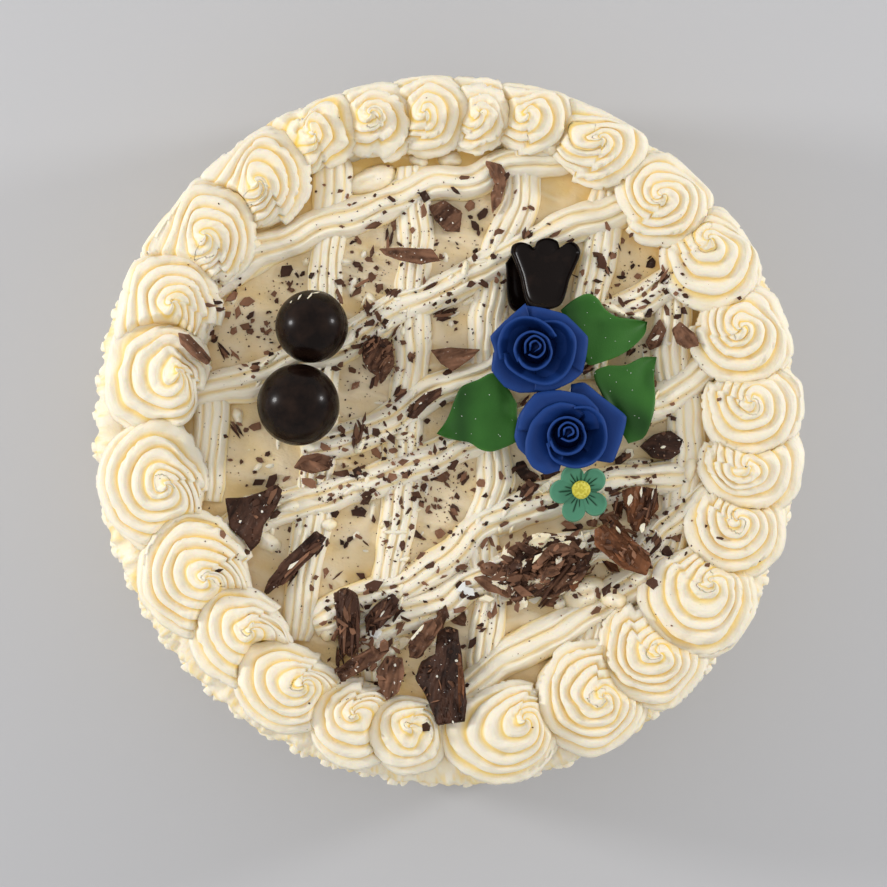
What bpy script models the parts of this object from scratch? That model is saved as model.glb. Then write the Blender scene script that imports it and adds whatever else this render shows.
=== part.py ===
"""Black forest cake, whole and uncut: a cream-coated round with piped star ropes up its side, a basket
of ribbed strips on top, a ring of piped rosettes, chocolate balls, shards, a shaving heap, sugar roses
and leaves.

Plan positions are typed on a drawing of the top, PLAN units to the metre, with the cake's centre at
CENTRE and the drawing's second number running down. Heights and sizes are in metres.
"""
import math
import random

import bmesh
import bpy
from mathutils import Matrix, Vector
from mathutils.bvhtree import BVHTree

PLAN = 2750.0
CENTRE = (449.0, 431.0)
GAP = 0.0004
REST_GAP = 0.0007

# cream body
BODY_RADIUS = 0.1304
TOP = 0.0660
ROPES = 64
ROPE_DEPTH = 0.0046
ROPE_LEVELS = ((0.0, -0.0012), (0.006, 0.0), (0.058, 0.0), (TOP, -0.0030))

# piped rosettes: centre, radius, the middle of the swirl and how near its inner side comes to the cake's
# centre in millimetres, each lying over the one after it
ROSETTE_LIMIT = 0.1284
ROSETTE_BASE = TOP + 0.0003
ROSETTE_HEIGHT = 0.0200
ROSETTE_CRESTS = ((1.11, 0.50), (0.93, 0.56), (0.80, 0.45), (0.62, 0.76), (0.48, 0.64), (0.31, 0.90))
ROSETTES = (
    (255, 178, 54, 258, 190, 95), (312, 130, 45, 311, 143, 98), (372, 124, 40, 360, 122, 99),
    (425, 114, 42, 413, 120, 100), (476, 114, 36, 469, 118, 102), (530, 117, 42, 525, 118, 102),
    (593, 138, 52, 595, 145, 102), (660, 200, 50, 658, 200, 98), (710, 260, 52, 701, 243, 96),
    (742, 335, 50, 734, 331, 93), (752, 406, 50, 746, 402, 92), (752, 462, 50, 742, 459, 92),
    (735, 527, 50, 731, 518, 90), (695, 598, 57, 704, 580, 87), (653, 650, 55, 659, 644, 89),
    (590, 696, 55, 597, 692, 88), (499, 718, 60, 520, 714, 93), (405, 728, 40, 410, 720, 96),
    (360, 716, 48, 363, 712, 95), (297, 672, 58, 303, 680, 94), (250, 630, 55, 254, 628, 89),
    (208, 573, 65, 213, 582, 85), (168, 484, 65, 172, 487, 90), (167, 379, 60, 183, 373, 90),
    (170, 313, 58, 176, 316, 92), (202, 242, 60, 210, 243, 95),
)

# ribbed strips of the basket, as centre lines: lower strips run down the drawing, upper ones slant
STRIP_WIDTH = 0.0098
LOWER_STRIP = 0.0042
UPPER_STRIP = 0.0060
STRIP_STEP = 0.0200
LOWER_STRIPS = (
    ((213, 390), (212, 430), (210, 460), (206, 495)),
    ((332, 160), (330, 205), (328, 242), (325, 300), (320, 400), (315, 505), (305, 560), (298, 625)),
    ((412, 190), (415, 250), (412, 300), (412, 345), (408, 390), (403, 440), (398, 520), (388, 590),
     (380, 660)),
    ((522, 160), (520, 210), (500, 250), (492, 290), (484, 340), (488, 400), (495, 480), (480, 540),
     (490, 600), (486, 650)),
    ((608, 205), (600, 255), (590, 300), (592, 360)),
    ((595, 600), (590, 630), (582, 660)),
    ((676, 310), (672, 365), (688, 405), (686, 450), (682, 500), (670, 540)),
)
UPPER_STRIPS = (
    ((215, 280), (262, 252), (300, 237), (335, 222), (380, 208), (425, 184), (470, 182), (510, 162),
     (565, 157)),
    ((190, 393), (240, 384), (290, 368), (340, 348), (395, 310), (450, 288), (500, 262), (530, 245),
     (575, 222), (635, 205)),
    ((350, 437), (385, 422), (433, 390), (490, 370), (560, 335), (640, 300), (700, 262)),
    ((240, 522), (282, 508), (330, 496), (385, 476), (440, 455), (500, 430), (580, 415), (654, 404),
     (712, 362)),
    ((325, 614), (365, 600), (400, 588), (430, 572), (452, 555), (475, 530), (510, 513), (545, 500),
     (620, 482), (670, 476)),
    ((370, 630), (410, 612), (445, 600), (470, 585), (520, 565), (600, 545), (640, 555), (665, 530),
     (712, 492)),
    ((455, 700), (490, 668), (520, 650), (555, 632), (590, 612), (625, 592), (655, 577)),
)

# chocolate balls: centre, radius and how far each sinks into the cream
BALLS = ((312, 329.5, 0.0132, 0.0030), (299, 406.5, 0.0148, 0.0040))

# sugar roses: centre, half width, half depth, turn in degrees
ROSES = ((538, 347, 0.0172, 0.0158, 12), (566, 431, 0.0196, 0.0168, 28))
ROSE_HEIGHT = 0.0200
ROSE_RINGS = ((0.62, 0.0), (0.97, 0.30), (1.00, 0.42), (0.76, 0.30), (0.72, 0.66), (0.46, 0.46),
              (0.42, 0.88), (0.22, 0.66), (0.17, 1.00))
ROSE_SIDES = 20

# sugar leaves: left and right edges from the tip to the base
LEAVES = (
    (((438, 435), (448, 412), (458, 394), (476, 381), (494, 374), (508, 389)),
     ((438, 435), (452, 440), (466, 442), (484, 452), (500, 450), (516, 428))),
    (((647, 322), (634, 322), (619, 319), (607, 311), (598, 297), (576, 299)),
     ((647, 322), (643, 336), (622, 355), (600, 362), (591, 356), (584, 330))),
    (((656, 357), (640, 358), (625, 366), (606, 367), (597, 378), (612, 408)),
     ((656, 357), (652, 376), (653, 400), (649, 420), (641, 438), (626, 444))),
)
LEAF_THICK = 0.0012

# sugar flower
FLOWER = (581, 490)
FLOWER_PETALS = ((573, 477), (595, 480), (597, 505), (575, 512), (562, 492))
PETAL_RADIUS = 0.0043
FLOWER_THICK = 0.0022
FLOWER_EYE = 0.0031

# chocolate fans
FANS = (
    ("plaque_back", (506, 262), (517, 248), (527, 250), (536, 245), (551, 244), (560, 262), (548, 308),
     (512, 308)),
    ("plaque_front", (511, 248), (517, 242), (528, 246), (536, 239), (548, 237), (560, 246), (573, 241),
     (581, 250), (572, 275), (560, 306), (530, 306), (520, 275)),
)
FAN_THICK = 0.0026

# chocolate shards: name, thickness in mm, bend in mm, outline
SHARDS = (
    ("shard_plate_left", 2.0, 1.6, (226, 498), (247, 497), (270, 489), (283, 495), (277, 508), (265, 525),
     (261, 542), (252, 551), (245, 540), (231, 528)),
    ("shard_long_left", 3.0, 1.5, (264, 592), (270, 578), (284, 560), (300, 545), (316, 530), (327, 537),
     (318, 552), (300, 566), (284, 582), (268, 594)),
    ("shard_plate_bottom", 2.6, 2.4, (437, 630), (447, 625), (457, 628), (460, 650), (465, 700), (463, 718),
     (436, 722), (424, 692), (414, 676), (421, 660), (434, 652)),
    ("shard_bundle_bark", 4.0, 1.6, (334, 592), (345, 586), (357, 592), (360, 612), (358, 640), (350, 656),
     (340, 646), (337, 618)),
    ("shard_bundle_dark", 3.0, 1.2, (364, 618), (375, 604), (392, 592), (399, 598), (393, 612), (379, 628),
     (368, 630)),
    ("shard_bundle_low", 2.4, 1.2, (336, 668), (350, 656), (372, 644), (384, 650), (370, 664), (352, 674),
     (341, 680)),
    ("shard_bundle_light", 2.2, 1.0, (376, 668), (386, 654), (402, 656), (404, 670), (398, 690), (386, 698),
     (378, 682)),
    ("shard_curved_brown", 2.0, 2.2, (408, 656), (416, 640), (430, 620), (441, 612), (442, 624), (430, 642),
     (417, 658)),
    ("shard_flat_top", 2.0, 1.0, (378, 250), (400, 249), (432, 250), (440, 262), (420, 266), (398, 262),
     (384, 256)),
    ("shard_plate_top", 2.0, 1.6, (428, 206), (444, 200), (462, 212), (460, 232), (446, 232), (434, 220)),
    ("shard_mauve_top", 1.8, 1.0, (484, 162), (500, 165), (507, 178), (500, 204), (492, 214), (490, 196),
     (496, 180)),
    ("shard_bark_centre", 3.0, 1.6, (362, 345), (374, 336), (392, 344), (394, 366), (384, 382), (370, 372),
     (362, 360)),
    ("shard_fan_centre", 2.0, 0.8, (430, 350), (450, 348), (480, 350), (470, 360), (452, 372), (440, 364)),
    ("shard_curl_centre", 2.4, 2.2, (406, 418), (412, 404), (424, 394), (441, 388), (440, 396), (426, 408),
     (414, 420)),
    ("shard_brown_left", 2.0, 0.8, (294, 468), (302, 456), (318, 453), (334, 458), (330, 470), (312, 474)),
    ("shard_oval_left", 1.8, 1.4, (181, 336), (192, 338), (204, 350), (214, 362), (210, 368), (196, 360),
     (184, 348)),
    ("shard_almond_right", 3.0, 1.2, (640, 446), (654, 434), (670, 430), (684, 440), (684, 450), (670, 460),
     (652, 458)),
    ("shard_rust_right", 2.2, 1.6, (601, 530), (612, 526), (632, 540), (646, 552), (650, 568), (636, 568),
     (616, 560), (606, 546)),
    ("shard_wedge_right", 2.4, 1.2, (646, 342), (654, 326), (660, 318), (666, 330), (660, 346), (650, 350)),
    ("shard_wing_right", 2.4, 1.2, (670, 330), (678, 322), (692, 334), (697, 346), (684, 350), (674, 344)),
    ("shard_block_right", 3.4, 0.8, (624, 496), (640, 487), (656, 492), (657, 508), (648, 521), (632, 518)),
)

# heap of shavings: middle, half length, half width, turn in degrees, number of plates
HEAP = (541, 566)
HEAP_LENGTH = 0.0205
HEAP_WIDTH = 0.0118
HEAP_TURN = 18
HEAP_PLATES = 8
HEAP_PLATE = 0.0052

# small flakes lying on the strips: middle, length in mm, turn in degrees
FLAKES = (
    (378, 240, 9, 70), (400, 226, 7, -20), (400, 325, 9, 45), (371, 398, 8, 80),
    (344, 475, 6, 50), (270, 480, 7, 60), (374, 584, 7, 25), (478, 284, 8, -30), (450, 314, 8, 20),
    (658, 284, 8, 60), (603, 264, 8, -60), (360, 512, 7, 15),
    (428, 198, 6, 40), (481, 219, 9, 65),
)
FLAKE_THICK = 0.0014

CREAM = (0.90, 0.82, 0.62, 1.0)
BLUE = (0.015, 0.045, 0.24, 1.0)
GREEN = (0.05, 0.17, 0.035, 1.0)
TEAL = (0.10, 0.30, 0.18, 1.0)
YELLOW = (0.74, 0.62, 0.08, 1.0)
DARK = (0.022, 0.012, 0.009, 1.0)
BROWN = (0.075, 0.035, 0.022, 1.0)


def plan(px, py):
    return Vector(((px - CENTRE[0]) / PLAN, (CENTRE[1] - py) / PLAN))


def wave(*values):
    """A steady uneven value from -1 to 1."""
    total = sum(value * factor for value, factor in zip(values, (12.99, 78.23, 37.72)))
    return 2.0 * ((math.sin(total) * 43758.5453) % 1.0) - 1.0


def material(name, colour, roughness):
    made = bpy.data.materials.new(name)
    made.use_nodes = True
    shader = made.node_tree.nodes["Principled BSDF"]
    shader.inputs["Base Color"].default_value = colour
    shader.inputs["Roughness"].default_value = roughness
    shader.inputs["Metallic"].default_value = 0.0
    return made


def solid(name, points, faces, colour, roughness, smooth=False):
    mesh = bpy.data.meshes.new(name)
    mesh.from_pydata([tuple(point) for point in points], [], faces)
    work = bmesh.new()
    work.from_mesh(mesh)
    bmesh.ops.triangulate(work, faces=work.faces)
    bmesh.ops.recalc_face_normals(work, faces=work.faces)
    if work.calc_volume(signed=True) < 0.0:
        bmesh.ops.reverse_faces(work, faces=work.faces)
    for face in work.faces:
        face.smooth = smooth
    work.to_mesh(mesh)
    work.free()
    mesh.materials.append(material(name, colour, roughness))
    made = bpy.data.objects.new(name, mesh)
    bpy.context.scene.collection.objects.link(made)
    return made


def ring_faces(rings, closed_ends=True):
    """Triangles between rings of equal count, the first and last filled flat."""
    faces = []
    for low, high in zip(rings, rings[1:]):
        for i in range(len(low)):
            j = (i + 1) % len(low)
            faces.append((low[i], low[j], high[j]))
            faces.append((low[i], high[j], high[i]))
    if closed_ends:
        faces.append(tuple(reversed(rings[0])))
        faces.append(tuple(rings[-1]))
    return faces


def apply_boolean(target, operation, others, solver):
    """Joins or cuts with a collection of helpers, makes the result real and removes the helpers."""
    group = bpy.data.collections.new(target.name + "_helpers")
    bpy.context.scene.collection.children.link(group)
    for other in others:
        bpy.context.scene.collection.objects.unlink(other)
        group.objects.link(other)
    step = target.modifiers.new("join", "BOOLEAN")
    step.operation = operation
    step.operand_type = "COLLECTION"
    step.collection = group
    step.solver = solver
    bpy.context.view_layer.update()
    graph = bpy.context.evaluated_depsgraph_get()
    result = bpy.data.meshes.new_from_object(target.evaluated_get(graph))
    target.modifiers.clear()
    target.data = result
    for other in others:
        bpy.data.objects.remove(other, do_unlink=True)
    bpy.data.collections.remove(group)
    keep_largest(target)


def keep_largest(target):
    """Drops loose scraps that a join leaves behind, and joins up level pieces of one face."""
    work = bmesh.new()
    work.from_mesh(target.data)
    bmesh.ops.remove_doubles(work, verts=work.verts, dist=0.00001)
    bmesh.ops.dissolve_limit(work, angle_limit=0.002, verts=work.verts, edges=work.edges)
    bmesh.ops.triangulate(work, faces=work.faces)
    seen = set()
    shells = []
    for start in work.verts:
        if start in seen:
            continue
        shell = [start]
        seen.add(start)
        for vert in shell:
            for edge in vert.link_edges:
                other = edge.other_vert(vert)
                if other not in seen:
                    seen.add(other)
                    shell.append(other)
        shells.append(shell)
    shells.sort(key=len, reverse=True)
    for shell in shells[1:]:
        bmesh.ops.delete(work, geom=shell, context="VERTS")
    work.to_mesh(target.data)
    work.free()
    for index in range(len(target.data.materials) - 1, 0, -1):
        target.data.materials.pop(index=index)


def ray_to_circle(start, direction, centre, radius):
    """Distance along a ray from inside a circle to its edge, or 0 where the ray misses it."""
    offset = start - centre
    half = offset.dot(direction)
    rest = half * half - offset.length_squared + radius * radius
    return -half + math.sqrt(rest) if rest > 0.0 else 0.0


def in_rosette(index, spot, margin=0.0):
    """Whether a plan point is within a rosette's round, which is flattened toward the cake's centre."""
    px, py, radius, _, _, inner = ROSETTES[index]
    centre = plan(px, py)
    radius = radius / PLAN
    outward = centre.normalized()
    away = spot - centre
    rise = away.dot(outward)
    side = away.dot(Vector((-outward.y, outward.x)))
    if rise < 0.0:
        rise *= (radius + margin) / (min(radius, centre.length - inner * 0.001) + margin)
    return rise * rise + side * side < (radius + margin) ** 2


def rosette_outline(index, sides):
    """The edge of a rosette as seen from above, cut back where the ones before it lie over it."""
    centre = plan(*ROSETTES[index][:2])
    swirl = plan(*ROSETTES[index][3:5])
    over = [(index - back) % len(ROSETTES) for back in (1, 2)]
    for other in over:
        away = (swirl - plan(*ROSETTES[other][:2])).normalized()
        while in_rosette(other, swirl, GAP + 0.004):
            swirl += away * 0.0005
    start = math.atan2(-centre.y, -centre.x)
    reaches = []
    for i in range(sides):
        angle = start + 2.0 * math.pi * i / sides
        direction = Vector((math.cos(angle), math.sin(angle)))
        reach = 0.002
        while reach < 0.06:
            spot = swirl + direction * (reach + 0.0002)
            if not in_rosette(index, spot) or spot.length > ROSETTE_LIMIT:
                break
            if any(in_rosette(other, spot, GAP + 0.0002) for other in over):
                break
            reach += 0.0002
        reaches.append([reach * (1.0 - 0.012 * (1.0 + wave(index, i))), direction])
    tight = True
    while tight:
        tight = False
        for i in range(sides):
            j = (i + 1) % sides
            one = swirl + reaches[i][1] * reaches[i][0]
            two = swirl + reaches[j][1] * reaches[j][0]
            along = [one.lerp(two, share / 12.0) for share in range(13)]
            if any(in_rosette(other, spot, GAP) for other in over for spot in along):
                reaches[i][0] *= 0.98
                reaches[j][0] *= 0.98
                tight = True
    return swirl, [swirl + direction * reach for reach, direction in reaches], start


def rosette(index):
    """A piped swirl: rings of crests and valleys that step inward by one crest in each turn."""
    radius = ROSETTES[index][2] / PLAN
    sides = 16 if radius > 0.0175 else 14
    swirl, outline, start = rosette_outline(index, sides)
    height = ROSETTE_HEIGHT * (0.55 + 0.45 * radius / 0.021) * (1.0 + 0.06 * wave(index, 7))
    high_side = math.atan2(plan(*ROSETTES[index][:2]).y, plan(*ROSETTES[index][:2]).x) - math.pi / 2.0
    points = []
    base = []
    columns = []
    for i, edge in enumerate(outline):
        turn = i / sides
        angle = start + 2.0 * math.pi * turn
        tilt = 1.0 + 0.10 * math.cos(angle - high_side)
        base.append(len(points))
        points.append((edge.x, edge.y, ROSETTE_BASE))
        column = [len(points)]
        rim = (0.20 + 0.22 * turn) * height * tilt
        points.append((edge.x, edge.y, ROSETTE_BASE + rim))
        for share, lift in ROSETTE_CRESTS:
            share = max(0.07, min(0.985, share - 0.31 * turn))
            place = swirl.lerp(edge, share)
            lift = (lift + 0.20 * turn * (1.0 - lift)) * (1.0 - 0.35 * share ** 6)
            column.append(len(points))
            points.append((place.x, place.y, ROSETTE_BASE + lift * height * (1.0 + (tilt - 1.0) * share)))
        columns.append(column)
    peak = len(points)
    points.append((swirl.x, swirl.y, ROSETTE_BASE + height))
    faces = [tuple(reversed(base))]
    for i in range(sides):
        j = (i + 1) % sides
        faces.append((base[i], base[j], columns[j][0]))
        faces.append((base[i], columns[j][0], columns[i][0]))
    for one, two in zip(columns, columns[1:]):
        for k in range(len(one) - 1):
            faces.append((one[k], two[k], two[k + 1]))
            faces.append((one[k], two[k + 1], one[k + 1]))
        faces.append((one[-1], two[-1], peak))
    last = columns[-1]
    first = columns[0]
    faces.append((last[0], first[0], first[1]))
    faces.append((last[0], first[1], first[2]))
    for k in range(len(last) - 1):
        near = first[k + 2] if k + 2 < len(first) else peak
        far = first[k + 3] if k + 3 < len(first) else peak
        faces.append((last[k], near, last[k + 1]))
        if near != far:
            faces.append((last[k + 1], near, far))
    return solid(f"rosette_{index + 1:02d}", points, faces, CREAM, 0.55, smooth=False)


def body():
    """The coated round, with star ropes up its side and a level top."""
    points = []
    rings = []
    for height, change in ROPE_LEVELS:
        ring = []
        for rope in range(ROPES):
            wobble = 0.0 if rope % (ROPES // 4) in (0, ROPES // 4 - 1) else 0.0004 * (wave(rope, 3) - 1.0)
            for share, depth in ((0.0, 1.0), (0.32, 0.0), (0.68, 0.0)):
                angle = 2.0 * math.pi * (rope + share) / ROPES
                radius = BODY_RADIUS - ROPE_DEPTH * depth + change + wobble * (1.0 - depth)
                ring.append(len(points))
                points.append((radius * math.cos(angle), radius * math.sin(angle), height))
        rings.append(ring)
    faces = ring_faces(rings)
    return solid("cake_cream", points, faces, CREAM, 0.55)


def walk(line, step):
    """Points at an even spacing along a plan line."""
    corners = [plan(*corner) for corner in line]
    dense = []
    for one, two in zip(corners, corners[1:]):
        count = max(1, int((two - one).length / step))
        dense.extend(one.lerp(two, i / count) for i in range(count))
    dense.append(corners[-1])
    return dense


def clear_of_rosettes(place):
    if place.length >= 0.118:
        return False
    return not any(in_rosette(index, place, 0.0011) for index in range(len(ROSETTES)))


def strip(index, line, height):
    """A ribbed strip of cream, ending where the rosettes begin. None where nothing of it is free."""
    dense = walk(line, 0.001)
    kept = []
    best = []
    for i, place in enumerate(dense):
        ahead = dense[min(i + 1, len(dense) - 1)] - dense[max(i - 1, 0)]
        across = Vector((-ahead.y, ahead.x)).normalized() * STRIP_WIDTH * 0.5
        if all(clear_of_rosettes(place + across * side) for side in (-1.0, 0.0, 1.0)):
            kept.append(place)
        else:
            kept = []
        if len(kept) > len(best):
            best = list(kept)
    count = max(2, round(len(best) * 0.001 / STRIP_STEP) + 1)
    path = [best[round(i * (len(best) - 1) / (count - 1))] for i in range(count)]
    profile = ((-1.0, -0.55), (-0.96, 0.45), (-0.48, 1.0), (0.0, 0.70), (0.50, 0.97), (0.96, 0.40),
               (1.0, -0.55))
    points = []
    rings = []
    for i, place in enumerate(path):
        ahead = path[min(i + 1, count - 1)] - path[max(i - 1, 0)]
        half_width = STRIP_WIDTH * 0.5 * (1.0 + 0.05 * wave(index, i))
        across = Vector((-ahead.y, ahead.x)).normalized() * half_width
        lift = height * (1.0 + 0.09 * wave(index, i, 5)) * (0.75 if i in (0, count - 1) else 1.0)
        ring = []
        for side, up in profile:
            ring.append(len(points))
            spot = place + across * side
            points.append((spot.x, spot.y, TOP + (up * lift if up > 0.0 else up * 0.005)))
        rings.append(ring)
    return solid(f"strip_{index}", points, ring_faces(rings), CREAM, 0.55)


def flake(index, spec, under):
    """A small chocolate flake sunk a little into what it lies on."""
    px, py, length, turn = spec
    place = plan(px, py)
    half = length * 0.0005
    points = []
    rings = []
    hit = under.ray_cast(Vector((place.x, place.y, 0.2)), Vector((0.0, 0.0, -1.0)))[0]
    for level in (-0.0012, FLAKE_THICK * 0.75):
        ring = []
        for i in range(5):
            angle = 2.0 * math.pi * i / 5 + 0.4 * wave(index, i)
            x = half * math.cos(angle)
            y = half * 0.45 * math.sin(angle) * (1.0 + 0.3 * wave(index, i, 2))
            spin = math.radians(turn)
            ring.append(len(points))
            points.append((
                place.x + x * math.cos(spin) - y * math.sin(spin),
                place.y + x * math.sin(spin) + y * math.cos(spin),
                hit.z + level + 0.0004 * wave(index, i, 4),
            ))
        rings.append(ring)
    return solid(f"flake_{index}", points, ring_faces(rings), DARK, 0.4)


def ball(index, spec):
    px, py, radius, sink = spec
    place = plan(px, py)
    return ball_mesh(f"ball_{index + 1}", place, radius, TOP + radius - sink + LOWER_STRIP, 18, 9)


def ball_mesh(name, place, radius, height, sides, levels):
    points = [(place.x, place.y, height - radius)]
    rings = []
    for level in range(1, levels):
        polar = math.pi * level / levels
        ring = []
        for i in range(sides):
            angle = 2.0 * math.pi * i / sides
            ring.append(len(points))
            points.append((
                place.x + radius * math.sin(polar) * math.cos(angle),
                place.y + radius * math.sin(polar) * math.sin(angle),
                height - radius * math.cos(polar),
            ))
        rings.append(ring)
    top = len(points)
    points.append((place.x, place.y, height + radius))
    faces = ring_faces(rings, closed_ends=False)
    for i in range(sides):
        j = (i + 1) % sides
        faces.append((0, rings[0][j], rings[0][i]))
        faces.append((rings[-1][i], rings[-1][j], top))
    return solid(name, points, faces, DARK, 0.18, smooth=True)


def sheet(outline, thick, bend, turn=0.0):
    """Points and faces of a thin bent plate, level, its middle at the origin in height."""
    spots = [plan(*corner) for corner in outline]
    middle = sum(spots, Vector((0.0, 0.0))) / len(spots)
    long_way = max((spot - middle for spot in spots), key=lambda away: away.length).normalized()
    reach = max(abs((spot - middle).dot(long_way)) for spot in spots)
    points = []
    for level in (-0.5, 0.5):
        for i, spot in enumerate(spots):
            along = (spot - middle).dot(long_way) / reach
            edge = 1.0 if level < 0.0 else 0.97
            flat = middle + (spot - middle) * edge
            lift = level * thick * (1.0 + 0.25 * wave(i, level, turn)) - bend * along * along
            points.append((flat.x, flat.y, lift))
    for level in (-0.5, 0.5):
        points.append((middle.x, middle.y, level * thick * 1.1))
    count = len(spots)
    faces = []
    for i in range(count):
        j = (i + 1) % count
        faces.append((j, i, 2 * count))
        faces.append((count + i, count + j, 2 * count + 1))
        faces.append((i, j, count + j))
        faces.append((i, count + j, count + i))
    return points, faces


def leaf(index, left, right):
    """A thin wavy leaf from its two edges, with a fold along its middle."""
    points = []
    rows = []
    for level in (0.0, LEAF_THICK):
        for k, (one, two) in enumerate(zip(left, right)):
            row = []
            for share in (0.0, 0.3, 0.6, 1.0) if k else (0.5,):
                spot = plan(*one).lerp(plan(*two), share)
                fold = 0.0022 * abs(2.0 * share - 1.0) + 0.0010 * wave(index, k, share)
                arch = 0.0030 * math.sin(math.pi * k / (len(left) - 1))
                row.append(len(points))
                points.append((spot.x, spot.y, level + fold + arch))
            rows.append(row)
    half = len(rows) // 2
    faces = []
    for level, lines in enumerate((rows[:half], rows[half:])):
        for a, b in zip(lines, lines[1:]):
            if len(a) == 1:
                faces.extend((a[0], b[k], b[k + 1]) for k in range(3))
                continue
            for k in range(3):
                faces.append((a[k], b[k], b[k + 1]))
                faces.append((a[k], b[k + 1], a[k + 1]))
    low = [row[0] for row in rows[:half]] + rows[half - 1][1:] + [row[-1] for row in rows[half - 2:0:-1]]
    high = [row[0] for row in rows[half:]] + rows[-1][1:] + [row[-1] for row in rows[-2:half:-1]]
    for i in range(len(low)):
        j = (i + 1) % len(low)
        faces.append((low[i], low[j], high[j]))
        faces.append((low[i], high[j], high[i]))
    return solid(f"leaf_{index + 1}", points, faces, GREEN, 0.5, smooth=True)


def rose(index, spec):
    """A sugar rose: rounds of petals that stand higher toward the middle, angular at the outside."""
    px, py, wide, deep, turn = spec
    place = plan(px, py)
    points = []
    rings = []
    for level, (share, lift) in enumerate(ROSE_RINGS):
        ring = []
        for i in range(ROSE_SIDES):
            angle = 2.0 * math.pi * i / ROSE_SIDES
            petal = abs(math.cos(2.5 * angle + level * 1.1))
            reach = share * (1.0 - 0.10 * (1.0 - petal))
            spin = math.radians(turn)
            x = wide * reach * math.cos(angle)
            y = deep * reach * math.sin(angle)
            height = lift * ROSE_HEIGHT * (1.0 - (0.10 * (1.0 - petal) if level > 1 else 0.0))
            ring.append(len(points))
            points.append((
                place.x + x * math.cos(spin) - y * math.sin(spin),
                place.y + x * math.sin(spin) + y * math.cos(spin),
                height,
            ))
        rings.append(ring)
    faces = ring_faces(rings, closed_ends=False)
    faces.append(tuple(reversed(rings[0])))
    middle = len(points)
    points.append((place.x, place.y, ROSE_HEIGHT * 0.84))
    for i in range(ROSE_SIDES):
        faces.append((rings[-1][i], rings[-1][(i + 1) % ROSE_SIDES], middle))
    return solid(f"rose_{index + 1}", points, faces, BLUE, 0.5, smooth=False)


def flower():
    """Five round petals pressed out of a thick sheet, dished toward the middle."""
    middle = plan(*FLOWER)
    petals = [plan(*petal) for petal in FLOWER_PETALS]
    outer = []
    sides = 25
    for i in range(sides):
        angle = 2.0 * math.pi * i / sides
        direction = Vector((math.cos(angle), math.sin(angle)))
        reach = 0.0048
        for petal in petals:
            reach = max(reach, ray_to_circle(middle, direction, petal, PETAL_RADIUS))
        outer.append(direction * reach)
    points = []
    rings = []
    rows = ((0.60, 0.0), (1.0, 0.0010), (1.0, 0.0010 + FLOWER_THICK * 0.6), (0.86, 0.0032), (0.50, 0.0018))
    for share, height in rows:
        ring = []
        for away in outer:
            ring.append(len(points))
            points.append((middle.x + away.x * share, middle.y + away.y * share, height))
        rings.append(ring)
    return solid("flower_petals", points, ring_faces(rings), TEAL, 0.55)


def heap():
    """Shavings heaped on one another: a low core with tilted plates over it."""
    place = plan(*HEAP)
    spin = Matrix.Rotation(math.radians(HEAP_TURN), 3, "Z")
    points = []
    rings = []
    for share, height in ((1.0, 0.0), (0.92, 0.0022), (0.55, 0.0044)):
        ring = []
        for i in range(12):
            angle = 2.0 * math.pi * i / 12
            uneven = 1.0 + 0.14 * wave(i, 8)
            spot = spin @ Vector((
                HEAP_LENGTH * 0.92 * share * uneven * math.cos(angle),
                HEAP_WIDTH * 0.92 * share * uneven * math.sin(angle),
                height * (1.0 + 0.2 * wave(i, height * 900.0)),
            ))
            ring.append(len(points))
            points.append((place.x + spot.x, place.y + spot.y, spot.z))
        rings.append(ring)
    core = solid("shaving_heap", points, ring_faces(rings), BROWN, 0.5)
    draw = random.Random(41)
    plates = []
    for index in range(HEAP_PLATES):
        angle = 2.0 * math.pi * index / HEAP_PLATES
        out = 0.30 + 0.50 * (index % 3) / 2.0
        spot = spin @ Vector((HEAP_LENGTH * out * math.cos(angle), HEAP_WIDTH * out * math.sin(angle), 0.0))
        turn = Matrix.Rotation(draw.uniform(0.0, math.pi), 3, "Z")
        pitch = Matrix.Rotation(draw.uniform(-0.5, 0.5), 3, "X")
        roll = Matrix.Rotation(draw.uniform(-0.35, 0.35), 3, "Y")
        lean = turn @ pitch @ roll
        size = HEAP_PLATE * draw.uniform(0.8, 1.25)
        corners = []
        rows = []
        for level in (-0.5, 0.5):
            ring = []
            for i in range(5):
                around = 2.0 * math.pi * i / 5 + draw.uniform(-0.3, 0.3)
                flat = (size * math.cos(around), size * 0.5 * math.sin(around), level * 0.0017)
                corner = lean @ Vector(flat)
                ring.append(len(corners))
                corners.append((
                    place.x + spot.x + corner.x,
                    place.y + spot.y + corner.y,
                    0.0036 * (1.25 - out) + 0.0022 + corner.z,
                ))
            rows.append(ring)
        plates.append(solid(f"plate_{index}", corners, ring_faces(rows), BROWN, 0.5))
    apply_boolean(core, "UNION", plates, "MANIFOLD")
    return core


def samples(obj, step):
    """Points spread over the edges and faces of a mesh."""
    mesh = obj.data
    found = [vert.co.copy() for vert in mesh.vertices]
    for edge in mesh.edges:
        one, two = (mesh.vertices[index].co for index in edge.vertices)
        count = int((two - one).length / step)
        found.extend(one.lerp(two, (i + 1) / (count + 1)) for i in range(count))
    found.extend(face.center.copy() for face in mesh.polygons)
    return found


def tree_of(obj):
    mesh = obj.data
    points = [vert.co.copy() for vert in mesh.vertices]
    return BVHTree.FromPolygons(points, [tuple(face.vertices) for face in mesh.polygons])


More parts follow.
